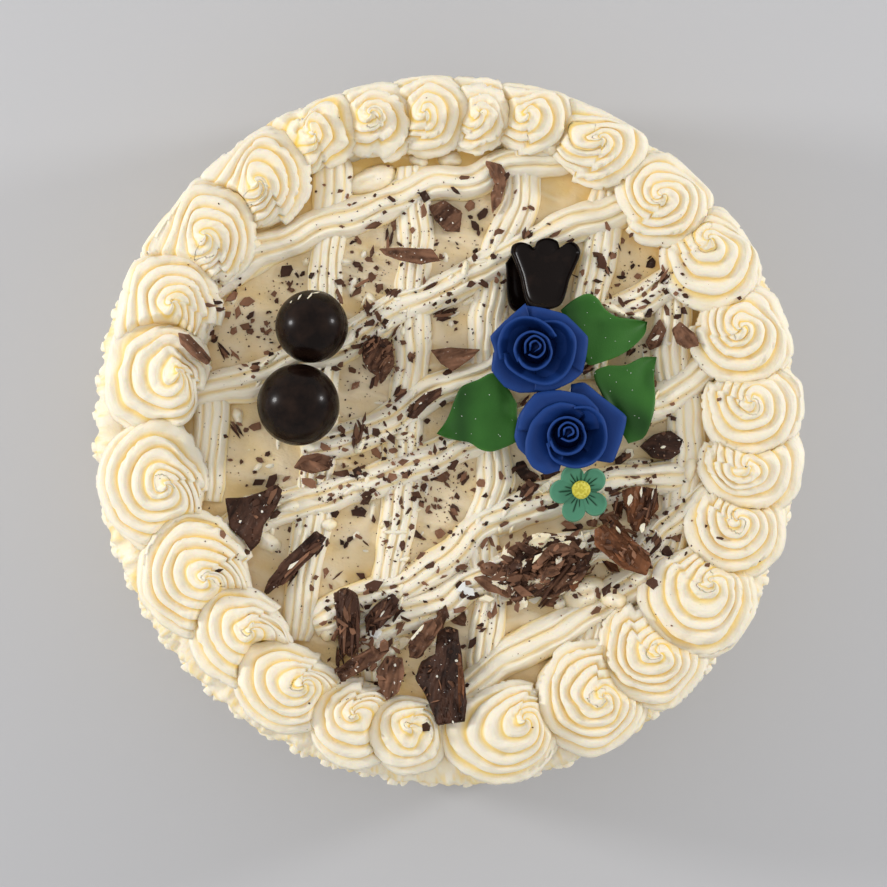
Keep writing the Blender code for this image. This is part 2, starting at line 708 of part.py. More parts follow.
class Ground:
    """What toppings come to rest on: every solid set down so far."""

    def __init__(self):
        self.trees = []
        self.points = []

    def add(self, obj):
        self.trees.append(tree_of(obj))
        self.points.extend(samples(obj, 0.0007))

    def height(self, x, y):
        best = 0.0
        for tree in self.trees:
            hit = tree.ray_cast(Vector((x, y, 0.3)), Vector((0.0, 0.0, -1.0)))[0]
            if hit is not None:
                best = max(best, hit.z)
        return best

    def slope(self, obj, limit):
        """A level direction fitted to the ground under a topping, no steeper than the limit."""
        spots = [vert.co.xy for vert in obj.data.vertices]
        middle = sum(spots, Vector((0.0, 0.0))) / len(spots)
        sums = [[0.0, 0.0], [0.0, 0.0]]
        rise = [0.0, 0.0]
        heights = [self.height(spot.x, spot.y) for spot in spots]
        mean = sum(heights) / len(heights)
        for spot, found in zip(spots, heights):
            away = spot - middle
            for a in range(2):
                rise[a] += away[a] * (found - mean)
                for b in range(2):
                    sums[a][b] += away[a] * away[b]
        matrix = Matrix(sums)
        if abs(matrix.determinant()) < 1e-16:
            return Vector((0.0, 0.0)), middle
        grade = matrix.inverted() @ Vector(rise)
        if grade.length > limit:
            grade = grade.normalized() * limit
        return grade, middle

    def rest(self, obj, limit=0.45):
        """Lets a topping down, leaning with the ground, until it is just clear of everything."""
        grade, middle = self.slope(obj, limit)
        for vert in obj.data.vertices:
            vert.co.z += (vert.co.xy - middle).dot(grade) + 0.2
        obj.data.update()
        down = Vector((0.0, 0.0, -1.0))
        up = Vector((0.0, 0.0, 1.0))
        drop = 1.0
        around = [Vector((GAP * x, GAP * y, 0.0)) for x, y in ((0, 0), (1, 0), (-1, 0), (0, 1), (0, -1))]
        for point in samples(obj, 0.0005):
            for tree in self.trees:
                for offset in around:
                    hit = tree.ray_cast(point + offset, down)[0]
                    if hit is not None:
                        drop = min(drop, point.z - hit.z)
        own = tree_of(obj)
        low = [min(vert.co[axis] for vert in obj.data.vertices) for axis in range(2)]
        high = [max(vert.co[axis] for vert in obj.data.vertices) for axis in range(2)]
        for point in self.points:
            if low[0] - GAP <= point.x <= high[0] + GAP and low[1] - GAP <= point.y <= high[1] + GAP:
                for offset in around:
                    hit = own.ray_cast(point + offset, up)[0]
                    if hit is not None:
                        drop = min(drop, hit.z - point.z)
        for vert in obj.data.vertices:
            vert.co.z -= drop - REST_GAP
        obj.data.update()
        self.add(obj)


for old in list(bpy.data.objects):
    bpy.data.objects.remove(old, do_unlink=True)

cake = body()
lower = [strip(index, line, LOWER_STRIP) for index, line in enumerate(LOWER_STRIPS)]
upper = [strip(index + 20, line, UPPER_STRIP) for index, line in enumerate(UPPER_STRIPS)]
apply_boolean(cake, "UNION", lower + upper, "MANIFOLD")
surface = tree_of(cake)
apply_boolean(cake, "UNION", [flake(index, spec, surface) for index, spec in enumerate(FLAKES)], "MANIFOLD")

balls = [ball(index, spec) for index, spec in enumerate(BALLS)]
pockets = []
for index, (px, py, radius, sink) in enumerate(BALLS):
    height = TOP + radius - sink + LOWER_STRIP
    pockets.append(ball_mesh(f"pocket_{index}", plan(px, py), radius + GAP, height, 18, 9))
apply_boolean(cake, "DIFFERENCE", pockets, "MANIFOLD")

ground = Ground()
ground.add(cake)
for made in balls:
    ground.add(made)
for index in range(len(ROSETTES)):
    ground.add(rosette(index))

fan_back, fan_front = [
    solid(name, *sheet(outline, FAN_THICK, 0.0), DARK, 0.2) for name, *outline in FANS
]
shards = {}
for name, thick, bend, *outline in SHARDS:
    shards[name] = solid(name, *sheet(outline, thick * 0.001, bend * 0.001, len(name)), DARK, 0.4)
for name in shards:
    ground.rest(shards[name])
ground.rest(heap(), 0.2)
ground.rest(fan_back, 0.3)
ground.rest(fan_front, 0.3)
for index, (left, right) in enumerate(LEAVES):
    ground.rest(leaf(index, left, right), 0.35)
for index, spec in enumerate(ROSES):
    ground.rest(rose(index, spec), 0.25)
ground.rest(flower(), 0.3)
eye = ball_mesh("flower_centre", plan(*FLOWER), FLOWER_EYE, 0.0, 12, 5)
eye.data.materials[0].node_tree.nodes["Principled BSDF"].inputs["Base Color"].default_value = YELLOW
eye.data.materials[0].node_tree.nodes["Principled BSDF"].inputs["Roughness"].default_value = 0.7
for vert in eye.data.vertices:
    vert.co.z = vert.co.z * 0.5 if vert.co.z > 0.0 else vert.co.z * 0.25
ground.rest(eye, 0.0)
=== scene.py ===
import math

import bmesh
import bpy
import numpy as np
from mathutils import Matrix, Vector
from mathutils.bvhtree import BVHTree


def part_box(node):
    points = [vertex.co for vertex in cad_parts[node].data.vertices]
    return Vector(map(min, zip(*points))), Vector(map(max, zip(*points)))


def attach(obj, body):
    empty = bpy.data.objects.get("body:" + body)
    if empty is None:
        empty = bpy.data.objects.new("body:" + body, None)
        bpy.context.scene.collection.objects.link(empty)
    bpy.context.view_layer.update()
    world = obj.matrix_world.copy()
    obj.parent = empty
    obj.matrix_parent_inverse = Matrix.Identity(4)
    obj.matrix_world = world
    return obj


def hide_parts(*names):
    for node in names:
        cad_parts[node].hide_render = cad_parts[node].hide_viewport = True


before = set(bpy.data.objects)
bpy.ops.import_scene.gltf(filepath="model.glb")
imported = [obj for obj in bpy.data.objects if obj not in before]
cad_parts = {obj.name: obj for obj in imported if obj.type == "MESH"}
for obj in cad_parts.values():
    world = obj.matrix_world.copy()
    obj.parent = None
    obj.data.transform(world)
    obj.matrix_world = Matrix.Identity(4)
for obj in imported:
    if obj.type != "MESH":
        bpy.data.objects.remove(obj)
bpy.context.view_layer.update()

scene = bpy.context.scene
planScale = 2750.0          # drawing units to the metre
planCentre = (449.0, 431.0)
topHeight = 0.066           # level top of the cream body
downWay = Vector((0.0, 0.0, -1.0))
cameraFacts = {"target": (-0.0020, -0.0045, 0.066), "distance": 0.95, "leanX": -0.044, "leanY": -0.026,
               "width": 0.3225}
cameraTarget = Vector(cameraFacts["target"])
cameraBackward = Vector((cameraFacts["leanX"], cameraFacts["leanY"], 1.0)).normalized()
cameraSpot = cameraTarget + cameraBackward * cameraFacts["distance"]


# helpers

def plan(px, py):
    return np.array([(px - planCentre[0]) / planScale, (planCentre[1] - py) / planScale])


def seenAt(px, py, height):
    # where a point drawn at px, py lies when it is that high up, on its line to the camera
    spot = plan(px, py)
    return spot + (np.array(cameraSpot[:2]) - spot) * (height - topHeight) / (cameraSpot[2] - topHeight)


def ease(values, low=0.0, high=1.0):
    share = np.clip((np.asarray(values, float) - low) / (high - low), 0.0, 1.0)
    return share * share * (3.0 - 2.0 * share)


def cellHash(i, j, k, seed):
    mixed = (i * 374761393 + j * 668265263 + k * 1442695041 + seed * 1274126177) & 0xFFFFFFFF
    mixed = ((mixed ^ (mixed >> 13)) * 1274126177) & 0xFFFFFFFF
    return ((mixed ^ (mixed >> 16)) & 0xFFFF) / 32767.5 - 1.0


def field(points, size, seed=0):
    # smooth uneven values from -1 to 1, with lumps of the given size
    cell = np.atleast_2d(points) / size
    base = np.floor(cell).astype(np.int64)
    part = cell - base
    part = part * part * (3.0 - 2.0 * part)
    total = 0.0
    for corner in range(8):
        step = np.array([corner & 1, corner >> 1 & 1, corner >> 2])
        weight = np.prod(np.where(step == 1, part, 1.0 - part), axis=1)
        total = total + weight * cellHash(*(base + step).T, seed)
    return total


def lineField(values, size, seed=0):
    values = np.asarray(values, float)
    return field(np.stack([values, values * 0 + 0.37 * size, values * 0], axis=1), size, seed)


def gridFaces(rows, cols, closeCols=False, start=0):
    last = cols if closeCols else cols - 1
    a = (np.arange(rows - 1)[:, None] * cols + np.arange(last)[None, :]) + start
    b = (np.arange(rows - 1)[:, None] * cols + (np.arange(last)[None, :] + 1) % cols) + start
    return np.stack([a, b, b + cols, a + cols], axis=2).reshape(-1, 4).tolist()


def makePiece(name, points, faces, material, nodes=(), values=None, smooth=True):
    mesh = bpy.data.meshes.new(name)
    mesh.from_pydata(np.asarray(points, float).tolist(), [], faces)
    for key, data in (values or {}).items():
        layer = mesh.attributes.new(key, "FLOAT", "POINT")
        layer.data.foreach_set("value", np.asarray(data, np.float32))
    mesh.polygons.foreach_set("use_smooth", [smooth] * len(mesh.polygons))
    mesh.materials.append(material)
    mesh.update()
    made = bpy.data.objects.new(name, mesh)
    scene.collection.objects.link(made)
    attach(made, "root")
    if nodes:
        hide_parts(*nodes)
    return made


def turnOutward(obj):
    work = bmesh.new()
    work.from_mesh(obj.data)
    bmesh.ops.recalc_face_normals(work, faces=work.faces)
    work.to_mesh(obj.data)
    work.free()


def tidyMesh(obj):
    # welds points that meet, drops flat leftovers, closes the underside and turns faces outward
    work = bmesh.new()
    work.from_mesh(obj.data)
    bmesh.ops.remove_doubles(work, verts=work.verts, dist=0.00001)
    bmesh.ops.delete(work, geom=[vert for vert in work.verts if not vert.link_faces], context="VERTS")
    rims = [edge for edge in work.edges if edge.is_boundary]
    bmesh.ops.holes_fill(work, edges=rims, sides=0)
    bmesh.ops.recalc_face_normals(work, faces=work.faces)
    work.to_mesh(obj.data)
    work.free()


def treeOf(*objects):
    points = []
    faces = []
    for obj in objects:
        start = len(points)
        points.extend(vert.co.copy() for vert in obj.data.vertices)
        faces.extend([start + index for index in face.vertices] for face in obj.data.polygons)
    return BVHTree.FromPolygons(points, faces)


def curveThrough(corners, count):
    # a smooth line through the corners, at even steps of their length
    corners = np.asarray(corners, float)
    padded = np.vstack([2 * corners[0] - corners[1], corners, 2 * corners[-1] - corners[-2]])
    dense = []
    for k in range(len(corners) - 1):
        p0, p1, p2, p3 = padded[k:k + 4]
        for t in np.linspace(0.0, 1.0, 16, endpoint=False):
            dense.append(0.5 * (2 * p1 + (p2 - p0) * t + (2 * p0 - 5 * p1 + 4 * p2 - p3) * t * t
                                + (3 * p1 - p0 - 3 * p2 + p3) * t ** 3))
    dense.append(corners[-1])
    dense = np.array(dense)
    along = np.concatenate([[0.0], np.cumsum(np.linalg.norm(np.diff(dense, axis=0), axis=1))])
    wanted = np.linspace(0.0, along[-1], count)
    return np.stack([np.interp(wanted, along, dense[:, axis]) for axis in range(corners.shape[1])], axis=1)


def lengthOf(corners):
    corners = np.asarray(corners, float)
    return float(np.linalg.norm(np.diff(corners, axis=0), axis=1).sum())


# materials

def addNode(tree, kind, place, **settings):
    node = tree.nodes.new(kind)
    node.location = place
    for key, value in settings.items():
        setattr(node, key, value)
    return node


def newGroup(name, inputs, outputs):
    group = bpy.data.node_groups.new(name, "ShaderNodeTree")
    for label, kind, value in inputs:
        socket = group.interface.new_socket(label, in_out="INPUT", socket_type=kind)
        if value is not None:
            socket.default_value = value
    for label, kind in outputs:
        group.interface.new_socket(label, in_out="OUTPUT", socket_type=kind)
    return group, addNode(group, "NodeGroupInput", (-900, 0)), addNode(group, "NodeGroupOutput", (700, 0))


def noiseNode(tree, place, scale, detail=3.0, rough=0.55):
    node = addNode(tree, "ShaderNodeTexNoise", place)
    node.inputs["Scale"].default_value = scale
    node.inputs["Detail"].default_value = detail
    node.inputs["Roughness"].default_value = rough
    return node


def mixNode(tree, place, blend="MIX", factor=0.5):
    node = addNode(tree, "ShaderNodeMix", place, data_type="RGBA", blend_type=blend)
    node.inputs["Factor"].default_value = factor
    return node


def mathNode(tree, place, operation, value=0.5):
    node = addNode(tree, "ShaderNodeMath", place, operation=operation)
    node.inputs[1].default_value = value
    return node


def makeCreamGroup():
    # colour and fine normal of whipped cream: pale crests, a painted yellow shade in grooves and hollows, streaks along
    # the piping
    group, into, out = newGroup(
        "creamSurface",
        (("Groove Shade", "NodeSocketFloat", 0.0), ("Across", "NodeSocketFloat", 0.0), ("Along", "NodeSocketFloat", 0.0),
         ("Crest Colour", "NodeSocketColor", None), ("Shade Colour", "NodeSocketColor", None),
         ("Grain", "NodeSocketFloat", 0.3), ("Streaks", "NodeSocketFloat", 0.5)),
        (("Colour", "NodeSocketColor"), ("Normal", "NodeSocketVector")))
    link = group.links.new
    place = addNode(group, "ShaderNodeTexCoord", (-1300, 300))
    clouds = noiseNode(group, (-900, 400), 60.0, 2.0)
    link(place.outputs["Object"], clouds.inputs["Vector"])
    sway = mathNode(group, (-700, 300), "MULTIPLY_ADD", 0.30)
    sway.inputs[2].default_value = -0.15
    link(clouds.outputs["Fac"], sway.inputs[0])
    lane = addNode(group, "ShaderNodeCombineXYZ", (-1300, -100))
    link(into.outputs["Across"], lane.inputs["X"])
    link(into.outputs["Along"], lane.inputs["Y"])
    streaks = noiseNode(group, (-1100, -100), 1.0, 3.0, 0.6)
    link(lane.outputs[0], streaks.inputs["Vector"])
    lines = mathNode(group, (-900, 100), "MULTIPLY_ADD", 0.45)
    lines.inputs[2].default_value = -0.22
    link(streaks.outputs["Fac"], lines.inputs[0])
    tinted = mathNode(group, (-700, 100), "MULTIPLY_ADD")
    link(lines.outputs[0], tinted.inputs[0])
    link(into.outputs["Streaks"], tinted.inputs[1])
    link(sway.outputs[0], tinted.inputs[2])
    # painted shade: the groove mask mixes the crest colour toward the yellow shade colour, for light scattered into the
    # cream's grooves and hollows
    total = mathNode(group, (-500, 200), "ADD")
    total.use_clamp = True
    link(tinted.outputs[0], total.inputs[0])
    link(into.outputs["Groove Shade"], total.inputs[1])
    blend = mixNode(group, (-250, 150))
    link(total.outputs[0], blend.inputs["Factor"])
    link(into.outputs["Crest Colour"], blend.inputs["A"])
    link(into.outputs["Shade Colour"], blend.inputs["B"])
    link(blend.outputs["Result"], out.inputs["Colour"])
    grain = noiseNode(group, (-700, -300), 900.0, 3.0, 0.6)
    link(place.outputs["Object"], grain.inputs["Vector"])
    lumps = noiseNode(group, (-700, -500), 230.0, 2.0)
    link(place.outputs["Object"], lumps.inputs["Vector"])
    heights = mathNode(group, (-450, -400), "MULTIPLY_ADD", 2.2)
    link(lumps.outputs["Fac"], heights.inputs[0])
    link(grain.outputs["Fac"], heights.inputs[2])
    bump = addNode(group, "ShaderNodeBump", (-300, -300))
    bump.inputs["Distance"].default_value = 0.0004
    link(into.outputs["Grain"], bump.inputs["Strength"])
    link(heights.outputs[0], bump.inputs["Height"])
    ridges = addNode(group, "ShaderNodeBump", (0, -200))
    ridges.inputs["Distance"].default_value = 0.0006
    link(into.outputs["Streaks"], ridges.inputs["Strength"])
    link(streaks.outputs["Fac"], ridges.inputs["Height"])
    link(bump.outputs["Normal"], ridges.inputs["Normal"])
    link(ridges.outputs["Normal"], out.inputs["Normal"])
    return group


def mottledMix(group, place, into, wander, drive, low, high):
    # mixes two colours by a driven value that wanders with a soft noise: its scale, gain and shift
    scale, gain, shift = wander
    link = group.links.new
    clouds = noiseNode(group, (-900, 400), scale, 3.0)
    link(place.outputs["Object"], clouds.inputs["Vector"])
    sway = mathNode(group, (-700, 300), "MULTIPLY_ADD", gain)
    sway.inputs[2].default_value = shift
    link(clouds.outputs["Fac"], sway.inputs[0])
    total = mathNode(group, (-500, 200), "ADD")
    total.use_clamp = True
    link(sway.outputs[0], total.inputs[0])
    link(into.outputs[drive], total.inputs[1])
    blend = mixNode(group, (-250, 200))
    link(total.outputs[0], blend.inputs["Factor"])
    link(into.outputs[low], blend.inputs["A"])
    link(into.outputs[high], blend.inputs["B"])
    return blend


def grainNormal(group, place, strength, out, noise, depth):
    # a fine grain in the surface's normal
    grain = noiseNode(group, (-900, -350), *noise)
    group.links.new(place.outputs["Object"], grain.inputs["Vector"])
    bump = addNode(group, "ShaderNodeBump", (-200, -300))
    bump.inputs["Distance"].default_value = depth
    group.links.new(strength, bump.inputs["Strength"])
    group.links.new(grain.outputs["Fac"], bump.inputs["Height"])
    group.links.new(bump.outputs["Normal"], out.inputs["Normal"])


def makeChocolateGroup():
    # broken chocolate: brown streaks, pale bloom and dust, rough grain
    group, into, out = newGroup(
        "chocolateSurface",
        (("Tone", "NodeSocketFloat", 0.5), ("Dark", "NodeSocketColor", None), ("Light", "NodeSocketColor", None),
         ("Bloom", "NodeSocketFloat", 0.3), ("Relief", "NodeSocketFloat", 0.5)),
        (("Colour", "NodeSocketColor"), ("Normal", "NodeSocketVector")))
    link = group.links.new
    place = addNode(group, "ShaderNodeTexCoord", (-1300, 200))
    blend = mottledMix(group, place, into, (170.0, 0.9, -0.45), "Tone", "Dark", "Light")
    specks = noiseNode(group, (-900, 0), 520.0, 3.0, 0.7)
    link(place.outputs["Object"], specks.inputs["Vector"])
    sharp = addNode(group, "ShaderNodeMapRange", (-650, 0))
    sharp.inputs["From Min"].default_value = 0.60
    sharp.inputs["From Max"].default_value = 0.78
    link(specks.outputs["Fac"], sharp.inputs["Value"])
    mask = mathNode(group, (-400, 0), "MULTIPLY")
    link(sharp.outputs["Result"], mask.inputs[0])
    link(into.outputs["Bloom"], mask.inputs[1])
    pale = mixNode(group, (0, 150))
    link(mask.outputs[0], pale.inputs["Factor"])
    link(blend.outputs["Result"], pale.inputs["A"])
    pale.inputs["B"].default_value = (0.42, 0.33, 0.27, 1.0)
    link(pale.outputs["Result"], out.inputs["Colour"])
    grainNormal(group, place, into.outputs["Relief"], out, (1400.0, 4.0, 0.65), 0.0003)
    return group


def makeSugarGroup():
    # matt sugar paste: faint mottling, a painted highlight on the edges, painted shade in the hollows, a very fine
    # grain
    group, into, out = newGroup(
        "sugarSurface",
        (("Base", "NodeSocketColor", None), ("Pale", "NodeSocketColor", None), ("Deep Shade", "NodeSocketColor", None),
         ("Edge", "NodeSocketFloat", 0.0), ("Hollow Shade", "NodeSocketFloat", 0.0), ("Grain", "NodeSocketFloat", 0.3)),
        (("Colour", "NodeSocketColor"), ("Normal", "NodeSocketVector")))
    link = group.links.new
    place = addNode(group, "ShaderNodeTexCoord", (-1300, 200))
    # the edge input adds a painted highlight, mixing toward the pale colour on top of the mottling
    blend = mottledMix(group, place, into, (110.0, 0.5, -0.18), "Edge", "Base", "Pale")
    # painted shade: the hollow input mixes toward the deep colour
    shade = mixNode(group, (0, 100))
    link(into.outputs["Hollow Shade"], shade.inputs["Factor"])
    link(blend.outputs["Result"], shade.inputs["A"])
    link(into.outputs["Deep Shade"], shade.inputs["B"])
    link(shade.outputs["Result"], out.inputs["Colour"])
    grainNormal(group, place, into.outputs["Grain"], out, (1700.0, 3.0, 0.6), 0.00015)
    return group


creamGroup = makeCreamGroup()
chocolateGroup = makeChocolateGroup()
sugarGroup = makeSugarGroup()


def newMaterial(name, group, settings, links, shader):
    # settings: group inputs held constant; links: group input <- mesh attribute; shader: Principled inputs
    made = bpy.data.materials.new(name)
    made.use_nodes = True
    tree = made.node_tree
    surface = tree.nodes["Principled BSDF"]
    effect = addNode(tree, "ShaderNodeGroup", (-400, 100))
    effect.node_tree = group
    for label, value in settings.items():
        effect.inputs[label].default_value = (*value, 1.0) if isinstance(value, tuple) else value
    for label, key in links.items():
        source = addNode(tree, "ShaderNodeAttribute", (-800, 100 - 160 * list(links).index(label)))
        source.attribute_name = key
        tree.links.new(source.outputs["Fac"], effect.inputs[label])
    tree.links.new(effect.outputs["Colour"], surface.inputs["Base Color"])
    tree.links.new(effect.outputs["Normal"], surface.inputs["Normal"])
    for label, value in shader.items():
        surface.inputs[label].default_value = value
    return made


creamShader = {"Roughness": 0.48, "Specular IOR Level": 0.36, "Subsurface Weight": 0.32,
               "Subsurface Radius": (1.0, 0.74, 0.36), "Subsurface Scale": 0.0024}
creamLinks = {"Groove Shade": "groove", "Across": "across", "Along": "along"}
toneLinks = {"Tone": "tone"}
sugarLinks = {"Edge": "edge", "Hollow Shade": "hollowShade"}
# the yellow groove colours of both creams are painted shade in grooves and hollows
creamLook = newMaterial(
    "pipedCream", creamGroup,
    {"Crest Colour": (0.925, 0.845, 0.69), "Shade Colour": (0.96, 0.66, 0.13), "Grain": 0.40,
     "Streaks": 0.45}, creamLinks, creamShader)
# the spread cream is darker than the piped cream: partly its own tan, partly painted shade of the low field among
# strips and flakes
coatLook = newMaterial(
    "spreadCream", creamGroup,
    {"Crest Colour": (0.81, 0.670, 0.45), "Shade Colour": (0.77, 0.535, 0.18), "Grain": 0.50,
     "Streaks": 0.35}, creamLinks, creamShader)
darkLook = newMaterial(
    "darkShard", chocolateGroup,
    {"Dark": (0.018, 0.0075, 0.0045), "Light": (0.100, 0.044, 0.026), "Bloom": 0.35, "Relief": 0.6},
    toneLinks, {"Roughness": 0.50, "Specular IOR Level": 0.15})
brownLook = newMaterial(
    "brownShard", chocolateGroup,
    {"Dark": (0.042, 0.017, 0.0095), "Light": (0.290, 0.143, 0.082), "Bloom": 0.45, "Relief": 0.7},
    toneLinks, {"Roughness": 0.60, "Specular IOR Level": 0.13})
rustLook = newMaterial(
    "rustShard", chocolateGroup,
    {"Dark": (0.045, 0.015, 0.006), "Light": (0.250, 0.098, 0.042), "Bloom": 0.35, "Relief": 0.7},
    toneLinks, {"Roughness": 0.58, "Specular IOR Level": 0.13})
glossLook = newMaterial(
    "polishedChocolate", chocolateGroup,
    {"Dark": (0.0052, 0.0023, 0.0016), "Light": (0.048, 0.025, 0.016), "Bloom": 0.0, "Relief": 0.04},
    toneLinks, {"Roughness": 0.27, "Specular IOR Level": 0.08, "Coat Weight": 0.09, "Coat Roughness": 0.08})
roseLook = newMaterial(
    "blueSugar", sugarGroup,
    {"Base": (0.0080, 0.034, 0.160), "Pale": (0.017, 0.066, 0.270), "Deep Shade": (0.0035, 0.015, 0.082),
     "Grain": 0.4},
    sugarLinks, {"Roughness": 0.50, "Specular IOR Level": 0.16})
leafLook = newMaterial(
    "greenSugar", sugarGroup,
    {"Base": (0.028, 0.125, 0.016), "Pale": (0.068, 0.215, 0.036), "Deep Shade": (0.009, 0.046, 0.006),
     "Grain": 0.5},
    sugarLinks, {"Roughness": 0.48, "Specular IOR Level": 0.22})
petalLook = newMaterial(
    "tealSugar", sugarGroup,
    {"Base": (0.062, 0.228, 0.135), "Pale": (0.110, 0.310, 0.190), "Deep Shade": (0.006, 0.040, 0.016),
     "Grain": 0.5},
    sugarLinks, {"Roughness": 0.55, "Specular IOR Level": 0.3})
eyeLook = newMaterial(
    "yellowSugar", sugarGroup,
    {"Base": (0.62, 0.55, 0.055), "Pale": (0.78, 0.72, 0.17), "Deep Shade": (0.35, 0.28, 0.02),
     "Grain": 1.0},
    sugarLinks, {"Roughness": 0.6, "Specular IOR Level": 0.3})
sugarLook = newMaterial(
    "whiteSpeck", sugarGroup,
    {"Base": (0.85, 0.85, 0.82), "Pale": (0.95, 0.95, 0.93), "Deep Shade": (0.6, 0.6, 0.55), "Grain": 0.6},
    {}, {"Roughness": 0.5})
print("materials made")


# rosettes

# centre, radius, middle of the swirl, inner reach in mm, and how torn it is, each lying over the one after it
rosettes = (
    (255, 178, 54, 258, 190, 95, 0.2), (312, 130, 45, 311, 143, 98, 0.9), (372, 124, 40, 360, 122, 99, 0.4),
    (425, 114, 42, 413, 120, 100, 0.3), (476, 114, 36, 469, 118, 102, 0.9), (530, 117, 42, 525, 118, 102, 0.2),
    (593, 138, 52, 595, 145, 102, 0.3), (660, 200, 50, 658, 200, 98, 0.1), (710, 260, 52, 701, 243, 96, 0.3),
    (742, 335, 50, 734, 331, 93, 0.2), (752, 406, 50, 746, 402, 92, 0.2), (752, 462, 50, 742, 459, 92, 0.4),
    (735, 527, 50, 731, 518, 90, 0.2), (695, 598, 57, 704, 580, 87, 0.3), (653, 650, 55, 659, 644, 89, 0.3),
    (590, 696, 55, 597, 692, 88, 0.3), (499, 718, 60, 520, 714, 93, 0.2), (405, 728, 40, 410, 720, 96, 0.9),
    (360, 716, 48, 363, 712, 95, 0.3), (297, 672, 58, 303, 680, 94, 0.1), (250, 630, 55, 254, 628, 89, 0.3),
    (208, 573, 65, 213, 582, 85, 0.2), (168, 484, 65, 172, 487, 90, 0.1), (167, 379, 60, 183, 373, 90, 0.7),
    (170, 313, 58, 176, 316, 92, 0.2), (202, 242, 60, 210, 243, 95, 0.3),
)
rosetteShape = {"limit": 0.1283, "base": topHeight + 0.0003, "height": 0.0198, "pitch": 0.0039, "columns": 150,
                "wall": 1.25, "step": 0.15}
bandSamples = np.array([0.0, 0.06, 0.12, 0.19, 0.29, 0.40, 0.53, 0.67, 0.81, 0.92])


def rosetteDepth(index, spots):
    # how far plan points lie inside a rosette's round, which is flattened toward the cake's centre
    px, py, radius, _, _, inner, _ = rosettes[index % len(rosettes)]
    centre = plan(px, py)
    radius = radius / planScale
    distance = math.hypot(*centre)
    outward = centre / distance
    away = spots - centre
    rise = away @ outward
    side = away @ np.array([-outward[1], outward[0]])
    short = min(radius, distance - inner * 0.001)
    return radius - np.hypot(np.where(rise < 0.0, rise * radius / short, rise), side)


def rosetteReach(index, swirl, angles):
    reaches = np.arange(0.002, 0.050, 0.0003)
    ways = np.stack([np.cos(angles), np.sin(angles)], axis=1)
    spots = swirl + ways[:, None, :] * reaches[None, :, None]
    inside = (rosetteDepth(index, spots.reshape(-1, 2)).reshape(spots.shape[:2]) > 0.0)
    inside &= np.hypot(spots[..., 0], spots[..., 1]) < rosetteShape["limit"]
    count = np.argmin(np.concatenate([inside, np.zeros((len(angles), 1), bool)], axis=1), axis=1)
    reach = reaches[np.maximum(count - 1, 0)]
    around = np.stack([np.roll(reach, shift) for shift in range(-3, 4)])
    return around.mean(axis=0)


def grooveProfile(share, depth):
    # one ridge of a star tip: a crisp outer edge, a broad slope, then a narrow groove; the second value is a painted
    # shade mask for the groove
    rise = ease(share, 0.0, 0.13)
    fall = 1.0 - ease(share, 0.84, 1.0)
    slope = 1.0 - 0.30 * np.clip((share - 0.13) / 0.7, 0.0, 1.0) ** 1.3
    lobe = rise * fall * slope
    return 1.0 - depth * (1.0 - lobe), np.clip(1.0 - rise * fall * 1.15, 0.0, 1.0)


